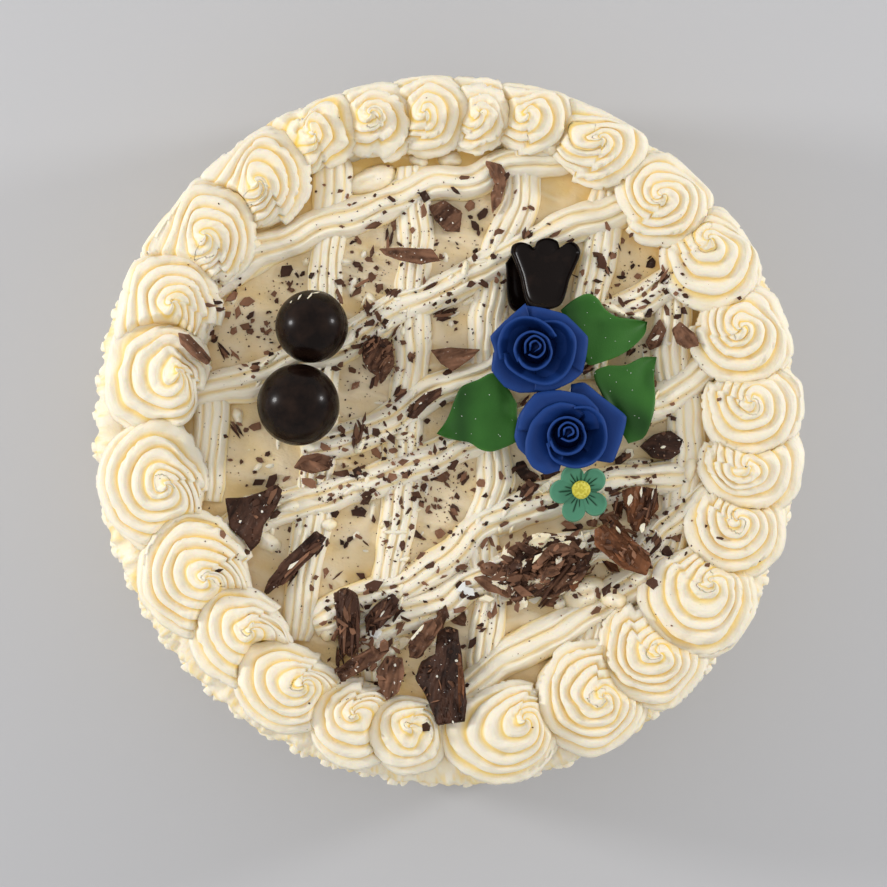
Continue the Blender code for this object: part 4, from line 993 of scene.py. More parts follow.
def heapCream():
    # where the shavings leave cream open, the heap's own surface is cream
    mesh = heapPiece.data
    points = np.array([vert.co[:] for vert in mesh.vertices])
    faces = [list(face.vertices) for face in mesh.polygons]
    middles = np.array([points[face].mean(axis=0) for face in faces])
    tops = np.array([face.normal.z for face in mesh.polygons]) > 0.15
    share = field(middles, 0.0050, 61) + 0.6 * field(middles, 0.0024, 62)
    pale = tops & (share > 0.12)
    piece = makePiece("heapCream", points, [face for face, yes in zip(faces, pale) if yes], creamLook,
                      ["shaving_heap"], {"groove": np.full(len(points), 0.22), "across": points[:, 1] * 800.0,
                                         "along": points[:, 0] * 160.0})
    work = bmesh.new()
    work.from_mesh(piece.data)
    bmesh.ops.delete(work, geom=[vert for vert in work.verts if not vert.link_faces], context="VERTS")
    work.to_mesh(piece.data)
    work.clear()
    work.from_mesh(mesh)
    work.faces.ensure_lookup_table()
    bmesh.ops.delete(work, geom=[face for face, yes in zip(work.faces[:], pale) if yes], context="FACES")
    work.to_mesh(mesh)
    work.free()
    return piece


heapOpen = heapCream()
print("shards made", sum(len(piece.data.polygons) for piece in shardPieces + [heapPiece]))


# broken plates lying on the heap and round it: grain direction, grain depth in mm, tone, height above what is
# below, rise along the grain in mm, then the outline as seen
plateLooks = {
    "platesBrown": (brownLook, "chocolate_brown", (
        (-30, 0.12, 0.62, 0.6, -1.0, ((473, 577), (483, 575), (497, 579), (508, 587), (514, 596), (507, 598),
                                      (497, 593),
                                      (487, 591), (479, 584))),
        (-20, 0.15, 0.66, 0.3, 0.6, ((479, 565), (490, 561), (501, 566), (508, 572), (506, 578), (492, 577),
                                     (482, 574))),
        (-32, 0.12, 0.40, 0.8, 0.8, ((515, 542), (521, 541), (539, 551), (534, 555), (523, 552), (519, 547))),
        (10, 0.12, 0.55, 1.0, 1.0, ((542, 553), (551, 544), (563, 542), (573, 547), (577, 553), (568, 555), (561, 553),
                                    (548, 556))),
        (48, 0.45, 0.25, 0.6, 1.2, ((544, 587), (551, 580), (561, 572), (577, 558), (580, 561), (568, 577), (560, 587),
                                    (551, 596), (544, 597))),
        (52, 0.40, 0.30, 0.9, 1.5, ((553, 589), (563, 577), (574, 563), (577, 566), (566, 582), (556, 593))),
        (15, 0.30, 0.35, 0.2, 0.5, ((542, 597), (551, 596), (561, 597), (561, 604), (554, 607), (546, 606))),
        (10, 0.15, 0.45, 0.5, 0.6, ((540, 534), (545, 532), (558, 534), (561, 537), (551, 538), (542, 537))),
        (20, 0.15, 0.58, 0.8, 0.8, ((538, 571), (545, 566), (556, 568), (561, 573), (552, 577), (542, 576))),
        (-15, 0.15, 0.50, 0.7, 0.7, ((518, 575), (526, 571), (536, 574), (533, 580), (522, 581))),
        (35, 0.20, 0.40, 0.4, 0.6, ((586, 521), (591, 519), (598, 520), (597, 525), (592, 527), (587, 525))),
        (38, 0.25, 0.40, 0.5, 0.5, ((366, 662), (372, 651), (387, 643), (390, 649), (379, 660), (368, 667))),
        (55, 0.20, 0.50, 0.4, 1.2, ((410, 656), (408, 646), (414, 633), (424, 622), (433, 618), (437, 625), (431, 638),
                                    (424, 650), (418, 659))),
        (75, 0.12, 0.45, 0.4, 0.8, ((436, 611), (446, 606), (447, 618), (443, 627), (439, 621))),
        (30, 0.20, 0.60, 0.2, 0.5, ((448, 612), (455, 607), (464, 610), (467, 618), (464, 626), (455, 624),
                                    (449, 620))),
        (-40, 0.12, 0.55, 0.2, 0.4, ((299, 464), (309, 460), (320, 463), (329, 468), (318, 472), (304, 471))))),
    "platesDark": (darkLook, "chocolate_dark", (
        (35, 0.15, 0.60, 0.7, 0.8, ((508, 567), (514, 562), (521, 560), (523, 565), (516, 569), (511, 573))),
        (48, 0.15, 0.55, 0.6, 1.0, ((579, 561), (584, 553), (591, 550), (594, 552), (591, 560), (584, 567),
                                    (580, 569))),
        (30, 0.20, 0.50, 0.4, 0.8, ((561, 530), (573, 525), (582, 523), (584, 528), (579, 530), (568, 538), (561, 539),
                                    (565, 534))),
        (60, 0.25, 0.45, 0.2, 0.5, ((519, 497), (522, 487), (530, 482), (540, 484), (536, 491), (528, 498),
                                    (521, 502))),
        (20, 0.20, 0.30, 0.1, 0.4, ((516, 462), (524, 460), (530, 470), (540, 476), (534, 484), (522, 480),
                                    (515, 470))),
        (-10, 0.20, 0.35, 0.1, 0.4, ((540, 474), (552, 472), (560, 470), (562, 478), (552, 482), (542, 481))),
        (-50, 0.15, 0.65, 0.5, 0.6, ((661, 546), (666, 542), (673, 551), (672, 556), (664, 557), (660, 551))),
        (50, 0.30, 0.60, 0.3, 0.5, ((646, 537), (656, 536), (662, 545), (660, 557), (653, 561), (648, 552))),
        (80, 0.15, 0.45, 0.7, 0.4, ((374, 681), (386, 679), (388, 690), (386, 699), (379, 698), (374, 690))),
        (60, 0.15, 0.45, 0.5, 0.5, ((262, 495), (270, 488), (277, 484), (283, 490), (278, 500), (268, 506))),
        (20, 0.20, 0.45, 0.1, 0.3, ((455, 585), (460, 580), (468, 588), (477, 590), (480, 596), (472, 600),
                                    (461, 598))))),
    "platesRust": (rustLook, "chocolate_brown", (
        (-40, 0.14, 0.60, 0.4, 0.6, ((595, 529), (606, 523), (613, 532), (622, 541), (640, 553), (651, 564), (647, 576),
                                     (637, 573), (622, 568), (608, 556), (595, 545))),
        (-55, 0.20, 0.40, 0.1, 0.4, ((597, 549), (607, 554), (618, 566), (620, 572), (610, 572), (603, 562))),
        (-48, 0.25, 0.55, 1.6, -0.6, ((606, 517), (611, 512), (618, 519), (627, 531), (638, 545), (646, 556),
                                      (641, 559),
                                      (629, 546), (617, 533))),
        (80, 0.45, 0.40, 0.9, 1.0, ((622, 490), (634, 486), (646, 487), (658, 488), (655, 503), (651, 519), (645, 530),
                                    (635, 532), (628, 521), (625, 505))),
        (75, 0.45, 0.25, 1.3, 1.2, ((628, 492), (636, 489), (640, 503), (640, 520), (634, 526), (630, 508))),
        (85, 0.40, 0.20, 0.3, 0.8, ((610, 492), (621, 490), (624, 505), (622, 519), (616, 512), (611, 503))),
        (80, 0.15, 0.75, 0.2, 0.4, ((571, 577), (576, 572), (580, 579), (577, 591), (572, 592), (569, 585))),
        (88, 0.20, 0.45, 0.1, 0.3, ((458, 652), (461, 655), (464, 680), (463, 721), (459, 721), (458, 690))))),
}


def platesPiece(name, look, slot, plates, floorTrees):
    points = []
    faces = []
    tones = []
    count = 0
    for number, (turn, grain, tone, raised, rise, outline) in enumerate(plates):
        middle = plan(*np.mean(outline, axis=0))
        height = max(tree.ray_cast(Vector((*middle, 0.2)), downWay)[0].z for tree in floorTrees
                     if tree.ray_cast(Vector((*middle, 0.2)), downWay)[0] is not None) + raised * 0.001
        corners = np.array([seenAt(*corner, height) for corner in outline])
        way = np.array([math.cos(math.radians(turn)), math.sin(math.radians(turn))])
        along = (corners - corners.mean(axis=0)) @ way
        lift = height + along / np.abs(along).max() * rise * 0.001
        work = bmesh.new()
        low = [work.verts.new((*corner, z - 0.0008)) for corner, z in zip(corners, lift)]
        high = [work.verts.new((*(corner * 0.985 + corners.mean(axis=0) * 0.015), z + 0.0006))
                for corner, z in zip(corners, lift)]
        work.faces.new(low[::-1])
        work.faces.new(high)
        for k in range(len(low)):
            after = (k + 1) % len(low)
            work.faces.new((low[k], low[after], high[after], high[k]))
        spots, normals, cells, sharp = refined(work, 0.0006)
        spots, shade = brokenSurface(spots, normals, sharp, number + 31, turn, grain, tone)
        points.append(spots)
        tones.append(shade)
        faces += [[count + index for index in cell] for cell in cells]
        count += len(spots)
    return makePiece(name, np.concatenate(points), faces, look, (), {"tone": np.concatenate(tones)},
                     smooth=False)


plateFloors = [treeOf(piece) for piece in (coat, basketLow, basketHigh, smears, *shardPieces, heapPiece, heapOpen)]
platePieces = [platesPiece(name, *facts, plateFloors) for name, facts in plateLooks.items()]
print("plates made", sum(len(piece.data.polygons) for piece in platePieces))


# chocolate fans

fanShapes = {
    "plaque_back": ((506, 262), (517, 248), (527, 250), (536, 245), (551, 244), (560, 262), (548, 308), (512, 308)),
    "plaque_front": ((511, 251), (513, 244), (521, 241), (530, 244), (534, 248), (538, 240), (548, 236.5), (558, 240),
                     (561, 247), (567, 242), (575, 241), (581, 248), (580, 257), (571, 277), (560, 305), (530, 306),
                     (520, 275)),
}


def fanPiece(name, outline):
    # a moulded fan with three scallops and a raised rounded rim, lying as its solid lies
    solidPoints = np.array([vert.co[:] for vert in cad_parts[name].data.vertices])
    grid = np.column_stack([solidPoints[:, :2], np.ones(len(solidPoints))])
    slope = np.linalg.lstsq(grid, solidPoints[:, 2], rcond=None)[0]
    corners = np.array([seenAt(*corner, float(np.append(plan(*corner), 1.0) @ slope) + 0.0012) for corner in outline])
    rim = curveThrough(np.vstack([corners, corners[:1]]), 161)[:-1]
    middle = corners.mean(axis=0)
    profile = ((0.0, 0.0), (0.55, 0.0), (0.97, 0.0), (1.0, 0.0005), (1.0, 0.0016), (0.985, 0.0025), (0.955, 0.0029),
               (0.925, 0.0027), (0.895, 0.0019), (0.86, 0.0015), (0.70, 0.0016), (0.45, 0.0018), (0.2, 0.0018))
    rows = []
    for share, lift in profile[1:]:
        spot = middle + (rim - middle) * share
        rows.append(np.column_stack([spot, np.full(len(rim), lift - 0.0013)]))
    points = np.concatenate(rows + [np.array([[*middle, -0.0013], [*middle, 0.0005]])])
    points[:, 2] += points[:, 0] * slope[0] + points[:, 1] * slope[1] + slope[2]
    points[:, 2] += field(points, 0.005, 3) * 0.00008
    count = len(rim)
    faces = gridFaces(len(rows), count, closeCols=True)
    low = len(points) - 2
    faces += [[low, k, (k + 1) % count] for k in range(count)]
    last = (len(rows) - 1) * count
    faces += [[low + 1, last + (k + 1) % count, last + k] for k in range(count)]
    piece = makePiece(name + "_fan", points, faces, glossLook, [name],
                      {"tone": np.full(len(points), -0.05)})
    turnOutward(piece)
    return piece


fanPieces = [fanPiece(name, outline) for name, outline in fanShapes.items()]


# sugar leaves

leafEdges = (
    (((436, 434), (446, 420), (453, 402), (460, 388), (476, 381), (493, 374), (507, 389), (516, 404)),
     ((436, 434), (448, 439), (457, 441), (468, 443), (479, 450), (490, 452), (503, 448), (516, 442))),
    (((647, 322), (632, 320), (615, 318), (603, 310), (596, 300), (586, 295), (573, 300), (559, 311)),
     ((647, 322), (642, 337), (622, 354), (600, 363), (586, 365), (579, 347), (572, 330), (563, 318))),
    (((656, 357), (640, 358), (623, 366), (604, 367), (592, 376), (606, 407)),
     ((656, 357), (652, 376), (653, 400), (649, 420), (641, 438), (626, 444))),
)
# where each leaf gets painted shade across its fold, as middle, half width along the leaf and strength
leafFolds = ((0.35, 0.13, 0.75), (0.90, 0.16, 0.7), (0.80, 0.18, 0.75))


def leafPiece(number, left, right):
    name = f"leaf_{number + 1}"
    tree = treeOf(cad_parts[name])
    rows, cols = 46, 34
    one = curveThrough([plan(*corner) for corner in left], rows)
    two = curveThrough([plan(*corner) for corner in right], rows)
    share = np.linspace(0.0, 1.0, cols)
    spots = one[:, None, :] * (1.0 - share[None, :, None]) + two[:, None, :] * share[None, :, None]
    heights = np.zeros((rows, cols))
    for i in range(rows):
        for j in range(cols):
            spot = spots[i, j] * 0.995 + spots[rows // 2, cols // 2] * 0.005
            hit = tree.ray_cast(Vector((*spot, 0.2)), downWay)[0]
            if hit is None:
                hit = tree.find_nearest(Vector((*spot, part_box(name)[1][2])))[0]
            heights[i, j] = hit.z
    for _ in range(14):
        padded = np.pad(heights, 1, mode="edge")
        heights = (padded[:-2, 1:-1] + padded[2:, 1:-1] + padded[1:-1, :-2] + padded[1:-1, 2:] + heights) / 5.0
    flat = spots.reshape(-1, 2)
    wave = field(np.column_stack([flat, np.zeros(len(flat))]), 0.007, number + 2) * 0.00035
    top = np.column_stack([flat, heights.ravel() + wave])
    alongShare = np.repeat(np.linspace(0.0, 1.0, rows), cols)
    acrossShare = np.tile(share, rows)
    rimWay = np.minimum(np.minimum(acrossShare, 1.0 - acrossShare), np.minimum(alongShare * 1.5, 1.0 - alongShare))
    top[:, 2] -= 0.00035 * (1.0 - ease(rimWay, 0.0, 0.05))
    middle, width, strength = leafFolds[number]
    # painted shade across the fold and a painted highlight along the rim
    fold = strength * np.exp(-((alongShare + 0.10 * (acrossShare - 0.5) - middle) / width) ** 2)
    edge = np.clip(0.75 * (1.0 - ease(rimWay, 0.0, 0.035)) + 0.10 * field(top, 0.006, 4), 0.0, 1.0)
    low = top.copy()
    low[:, 2] -= 0.0011
    points = np.vstack([top, low])
    faces = gridFaces(rows, cols)
    faces += [face[::-1] for face in gridFaces(rows, cols, start=rows * cols)]
    border = [j for j in range(cols)] + [i * cols + cols - 1 for i in range(1, rows)]
    border += [(rows - 1) * cols + j for j in range(cols - 2, -1, -1)] + [i * cols for i in range(rows - 2, 0, -1)]
    for k, here in enumerate(border):
        after = border[(k + 1) % len(border)]
        faces.append([here, here + rows * cols, after + rows * cols, after])
    piece = makePiece(name + "_sheet", points, faces, leafLook, [name],
                      {"edge": np.tile(edge, 2), "hollowShade": np.tile(fold, 2)})
    turnOutward(piece)
    return piece


leafPieces = [leafPiece(number, *edges) for number, edges in enumerate(leafEdges)]


# sugar roses

# each petal: rim height and foot radius in mm, then its rim as seen from above
roseFacts = {
    "rose_1": {"core": (537, 347), "petals": (
        (9.5, 5.0, (524, 304), (545, 308), (566, 314), (588, 336), (587, 352), (583, 372)),
        (8.5, 5.0, (588, 338), (583, 371), (572, 381), (560, 387), (548, 392), (535, 389)),
        (8.0, 5.0, (556, 388), (540, 391), (520, 392), (505, 386), (492, 370), (494, 352)),
        (9.0, 5.0, (500, 380), (493, 366), (495, 350), (491, 336), (505, 321), (526, 303)),
        (14.0, 4.0, (502, 358), (500, 343), (506, 327), (520, 318), (536, 319), (549, 327), (556, 336)),
        (13.0, 4.0, (540, 322), (560, 322), (574, 336), (573, 357), (564, 374), (548, 383), (528, 378), (510, 366),
         (505, 352)),
        (17.0, 3.2, (520, 360), (516, 349), (521, 337), (533, 332), (546, 338), (551, 350)),
        (16.6, 3.2, (545, 337), (551, 350), (547, 362), (536, 368), (524, 364), (518, 352)),
        (18.6, 1.5, (527, 352), (527, 342), (535, 336), (543, 341), (544, 350), (538, 356), (530, 353)),
        (19.6, 0.6, (532, 349), (532, 343), (537, 341), (540, 346), (536, 350)),
    )},
    "rose_2": {"core": (568, 432), "petals": (
        (8.5, 5.0, (572, 384), (585, 382), (602, 396), (627, 416), (622, 440), (613, 462), (596, 460)),
        (8.0, 5.0, (534, 462), (519, 448), (515, 436), (519, 416), (528, 402), (538, 392)),
        (11.5, 5.0, (518, 430), (522, 412), (536, 393), (560, 390), (585, 395), (598, 408), (604, 428)),
        (12.5, 4.5, (586, 412), (575, 404), (560, 402), (545, 408), (532, 422), (526, 440), (526, 455), (533, 467),
         (546, 474), (560, 470)),
        (14.0, 4.0, (549, 442), (553, 456), (563, 463), (577, 466), (592, 462), (603, 450), (606, 435), (602, 418),
         (590, 408), (575, 408)),
        (17.0, 3.2, (552, 446), (550, 433), (556, 422), (568, 418), (580, 423), (585, 434)),
        (16.6, 3.2, (580, 423), (585, 436), (580, 448), (568, 453), (556, 449), (551, 436)),
        (18.8, 1.5, (561, 436), (561, 428), (568, 423), (576, 427), (577, 436), (570, 440), (563, 437)),
        (19.8, 0.6, (566, 434), (566, 429), (571, 428), (573, 432), (569, 435)),
    )},
}


def rosePiece(name, facts):
    low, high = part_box(name)
    scale = (high[2] - low[2]) / 0.0205
    core = plan(*facts["core"])
    points = []
    faces = []
    edges = []
    hollowShades = []
    count = 0
    rows, cols = 12, 46
    for number, (height, footRadius, *rim) in enumerate(facts["petals"]):
        outerPetal = height < 12.6
        rimHeight = low[2] + min(height * 0.001, 0.0195) * scale
        corners = np.array([seenAt(*corner, rimHeight) for corner in rim])
        rimLine = curveThrough(corners, cols)
        if outerPetal:
            spread = np.concatenate([[0.0], np.cumsum(np.linalg.norm(np.diff(corners, axis=0), axis=1))])
            wanted = np.linspace(0.0, spread[-1], cols)
            straight = np.stack([np.interp(wanted, spread, corners[:, axis]) for axis in (0, 1)], axis=1)
            rimLine = rimLine * 0.35 + straight * 0.65
        core = seenAt(*facts["core"], low[2] + max(0.0, height - 11.0) * 0.001)
        away = rimLine - core
        far = np.linalg.norm(away, axis=1)
        foot = core + away / far[:, None] * np.minimum(footRadius * 0.001, far * 0.6)[:, None]
        share = np.linspace(0.0, 1.0, cols)
        ends = ease(np.minimum(share, 1.0 - share), 0.0, 0.16)
        wave = 0.0005 * lineField(share * 5.0, 1.0, number + 7)
        footHeight = max(0.0, height - 13.0) * 0.0005 + 0.0006
        tall = np.minimum(height * 0.001, 0.0195) - footHeight
        slant = (share - 0.5) * (0.0018 if outerPetal else 0.0006)
        sheets = []
        for k in range(rows):
            h = k / (rows - 1)
            out = h ** (1.25 if outerPetal else 0.72)
            up = (1.0 - (1.0 - h) ** 2.6) if outerPetal else h ** 1.15
            rowSpot = foot + (rimLine - foot) * out
            rise = footHeight + tall * up * (0.86 + 0.14 * ends)
            rise = rise + (wave + slant) * h
            if k == rows - 1:
                rise = rise - 0.0003
            sheets.append(np.column_stack([rowSpot, low[2] + rise * scale + 0.0002]))
        inner = np.array(sheets)
        thick = 0.00085 if height < 17.5 else 0.00070
        inwardWay = -(away / far[:, None])
        outer = inner.copy()
        outer[..., 2] -= thick * 0.9
        outer[..., :2] -= inwardWay[None, :, :] * thick * (0.25 if outerPetal else 1.0)
        outer[-1, :, 2] += thick * 0.45
        both = np.vstack([inner.reshape(-1, 3), outer.reshape(-1, 3)])
        points.append(both)
        block = rows * cols
        faces += gridFaces(rows, cols, start=count)
        faces += [face[::-1] for face in gridFaces(rows, cols, start=count + block)]
        border = [j for j in range(cols)] + [i * cols + cols - 1 for i in range(1, rows)]
        border += [(rows - 1) * cols + j for j in range(cols - 2, -1, -1)]
        border += [i * cols for i in range(rows - 2, 0, -1)]
        for k, here in enumerate(border):
            after = border[(k + 1) % len(border)]
            faces.append([count + here, count + here + block, count + after + block, count + after])
        climb = np.repeat(np.linspace(0.0, 1.0, rows), cols)
        # a painted highlight along the petal rims and painted shade low in each petal
        edges.append(np.tile(ease(climb, 0.80, 1.0) * 0.42, 2))
        hollowShades.append(np.tile((1.0 - ease(climb, 0.05, 0.55)) * 0.55, 2))
        count += len(both)
    # a cone of paste fills the middle below the petals
    turn = np.linspace(0.0, 2.0 * math.pi, 40, endpoint=False)
    rings = ((0.0085, 0.0001), (0.0088, 0.0025), (0.0060, 0.0068), (0.0036, 0.0120), (0.0016, 0.0160), (0.0004, 0.0170))
    cone = np.concatenate([np.column_stack([core[0] + r * np.cos(turn), core[1] + r * np.sin(turn),
                                            np.full(40, low[2] + z * scale)]) for r, z in rings])
    points.append(cone)
    faces += gridFaces(len(rings), 40, closeCols=True, start=count)
    faces.append([count + k for k in range(39, -1, -1)])
    faces.append([count + (len(rings) - 1) * 40 + k for k in range(40)])
    # the cone takes mostly the deep colour: painted shade in the rose's middle
    edges.append(np.zeros(len(cone)))
    hollowShades.append(np.ones(len(cone)) * 0.9)
    piece = makePiece(name + "_petals", np.concatenate(points), faces, roseLook, [name],
                      {"edge": np.concatenate(edges), "hollowShade": np.concatenate(hollowShades)})
    turnOutward(piece)
    return piece


rosePieces = [rosePiece(name, facts) for name, facts in roseFacts.items()]


# sugar flower

flowerFacts = {"middle": (582, 489.5), "petals": ((573, 477), (595, 480), (597, 504), (575, 510), (562, 491.5)),
               "radius": 0.0043}


def flowerPieces():
    low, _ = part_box("flower_petals")
    solid = np.array([vert.co[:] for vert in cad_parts["flower_petals"].data.vertices])
    slope = np.linalg.lstsq(np.column_stack([solid[:, :2], np.ones(len(solid))]), solid[:, 2], rcond=None)[0]
    eyeLow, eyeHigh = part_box("flower_centre")
    middle = seenAt(*flowerFacts["middle"], float(eyeHigh[2]))
    turns = np.linspace(0.0, 2.0 * math.pi, 240, endpoint=False)
    ways = np.stack([np.cos(turns), np.sin(turns)], axis=1)
    reach = np.full(240, 0.0040)
    nearest = np.full(240, 9.0)
    for petal in flowerFacts["petals"]:
        away = middle - seenAt(*petal, float(eyeHigh[2]) - 0.001)
        half = ways @ away
        rest = half ** 2 - away @ away + flowerFacts["radius"] ** 2
        reach = np.maximum(reach, np.where(rest > 0.0, -half + np.sqrt(np.maximum(rest, 0.0)), 0.0))
        facing = math.atan2(-away[1], -away[0])
        turnAway = (turns - facing + math.pi) % (2.0 * math.pi) - math.pi
        nearest = np.where(np.abs(turnAway) < np.abs(nearest), turnAway, nearest)
    rows = ((0.55, -0.0016), (0.98, -0.0009), (1.0, -0.0002), (0.985, 0.0003), (0.95, 0.0005), (0.90, 0.0004),
            (0.82, 0.0002), (0.74, 0.0001), (0.66, 0.0), (0.58, -0.0001), (0.50, -0.0002), (0.42, -0.0003),
            (0.34, -0.0004), (0.24, -0.0004), (0.12, -0.0004))
    points = []
    hollowShade = []
    edge = []
    for share, lift in rows:
        spot = middle + ways * (reach * share)[:, None]
        veins = np.zeros(240)
        for k, offset in enumerate((-0.26, 0.0, 0.24)):
            span = 0.72 if k == 1 else 0.52
            width = (0.026 if k == 1 else 0.018) / max(share, 0.3)
            veins = np.maximum(veins, np.exp(-((nearest - offset * (0.6 + share)) / width) ** 2)
                               * float(0.30 < share < span))
        cleft = np.exp(-((np.abs(nearest) - 0.62) / 0.07) ** 2) * (share > 0.35)
        points.append(np.column_stack([spot, np.full(240, lift) - veins * 0.00035 - cleft * 0.0003]))
        # painted shade in the pressed veins and the clefts between petals, a painted highlight on the outer rim
        hollowShade.append(np.clip(veins * 0.95 + cleft * 0.5, 0.0, 1.0))
        edge.append(np.full(240, 0.6 if share > 0.93 else 0.1))
    points = np.concatenate(points + [np.array([[*middle, -0.0016], [*middle, -0.0004]])])
    tilt = points[:, 0] * slope[0] + points[:, 1] * slope[1] + slope[2]
    points[:, 2] = points[:, 2] * 1.3 + tilt + 0.0004
    faces = gridFaces(len(rows), 240, closeCols=True)
    low = len(points) - 2
    last = (len(rows) - 1) * 240
    faces += [[low, k, (k + 1) % 240] for k in range(240)]
    faces += [[low + 1, last + (k + 1) % 240, last + k] for k in range(240)]
    petals = makePiece("flower_pressed", points, faces, petalLook, ["flower_petals"],
                       {"edge": np.concatenate(edge + [np.zeros(2)]), "hollowShade": np.concatenate(hollowShade + [np.zeros(2)])})
    turnOutward(petals)
    # the eye: a dome rough with sugar grains
    turn = np.linspace(0.0, 2.0 * math.pi, 72, endpoint=False)
    polar = np.linspace(0.04, 0.5 * math.pi, 22)
    dome = []
    for angle in polar:
        dome.append(np.column_stack([middle[0] + 0.0033 * math.sin(angle) * np.cos(turn),
                                     middle[1] + 0.0033 * math.sin(angle) * np.sin(turn),
                                     np.full(72, eyeLow[2] + 0.0006
                                              + (eyeHigh[2] - eyeLow[2] - 0.0006) * math.cos(angle))]))
    dome.append(dome[-1] * np.array([1.0, 1.0, 0.0]) + np.array([0.0, 0.0, eyeLow[2]]))
    dome = np.concatenate(dome)
    grains = np.clip(field(dome, 0.00055, 5), -0.3, 1.0)
    dome[:, 2] += grains * 0.00022
    dome[:, :2] += (dome[:, :2] - middle) * (grains * 0.05)[:, None]
    faces = gridFaces(23, 72, closeCols=True)
    faces.append(list(range(72)))
    faces.append([22 * 72 + k for k in range(71, -1, -1)])
    # a painted highlight on the grain tops and painted shade between the grains
    eye = makePiece("flower_eye", dome, faces, eyeLook, ["flower_centre"],
                    {"edge": np.clip(grains, 0.0, 1.0) * 0.8, "hollowShade": np.clip(-grains * 1.5, 0.0, 1.0)})
    turnOutward(eye)
    return petals, eye


flowerPieces()
print("sugar work made")


# loose flakes, crumbs and specks

carriers = [treeOf(piece) for piece in (coat, basketLow, basketHigh, smears, rim, *swirls)]
toppings = [treeOf(piece) for piece in (*shardPieces, heapPiece, heapOpen, *platePieces)]
blockers = [treeOf(piece) for piece in (*ballPieces, *fanPieces, *leafPieces, *rosePieces)]

# where flakes gather: middle, half widths, how many flakes and crumbs, share of brown ones, size factor
flakeAreas = (
    (392, 466, 58, 38, 150, 330, 0.45, 0.95), (258, 330, 36, 46, 75, 150, 0.40, 0.90),
    (375, 345, 34, 75, 105, 220, 0.50, 1.0), (634, 286, 44, 34, 85, 170, 0.50, 0.95),
    (425, 545, 54, 60, 85, 180, 0.45, 1.0), (632, 515, 36, 42, 95, 150, 0.55, 1.1),
    (400, 640, 60, 44, 100, 150, 0.50, 1.0), (425, 222, 66, 34, 65, 130, 0.50, 1.0),
    (300, 520, 70, 60, 36, 140, 0.40, 0.95), (455, 300, 46, 40, 36, 110, 0.45, 0.85),
    (560, 450, 40, 46, 30, 60, 0.45, 0.85), (660, 445, 30, 48, 34, 70, 0.50, 0.85),
    (449, 431, 228, 212, 90, 760, 0.40, 0.7), (449, 431, 300, 290, 8, 60, 0.40, 0.7),
    (690, 545, 24, 20, 9, 14, 0.50, 0.8), (600, 592, 44, 24, 22, 50, 0.50, 0.9),
    (528, 486, 22, 20, 34, 30, 0.45, 1.0), (306, 280, 40, 22, 18, 50, 0.40, 0.8),
)
# where shavings lie heaped: middle, half widths, turn, how many, their lie in degrees, size factor
heapAreas = (
    (541, 566, 46, 25, 18, 84, 40, 1.05), (622, 540, 26, 24, -35, 24, -40, 0.9),
    (362, 628, 32, 34, 40, 44, 55, 1.15), (378, 350, 18, 24, 20, 30, 60, 0.9),
    (640, 508, 18, 22, 0, 16, 75, 0.8), (440, 680, 16, 40, 0, 5, 80, 0.8),
)
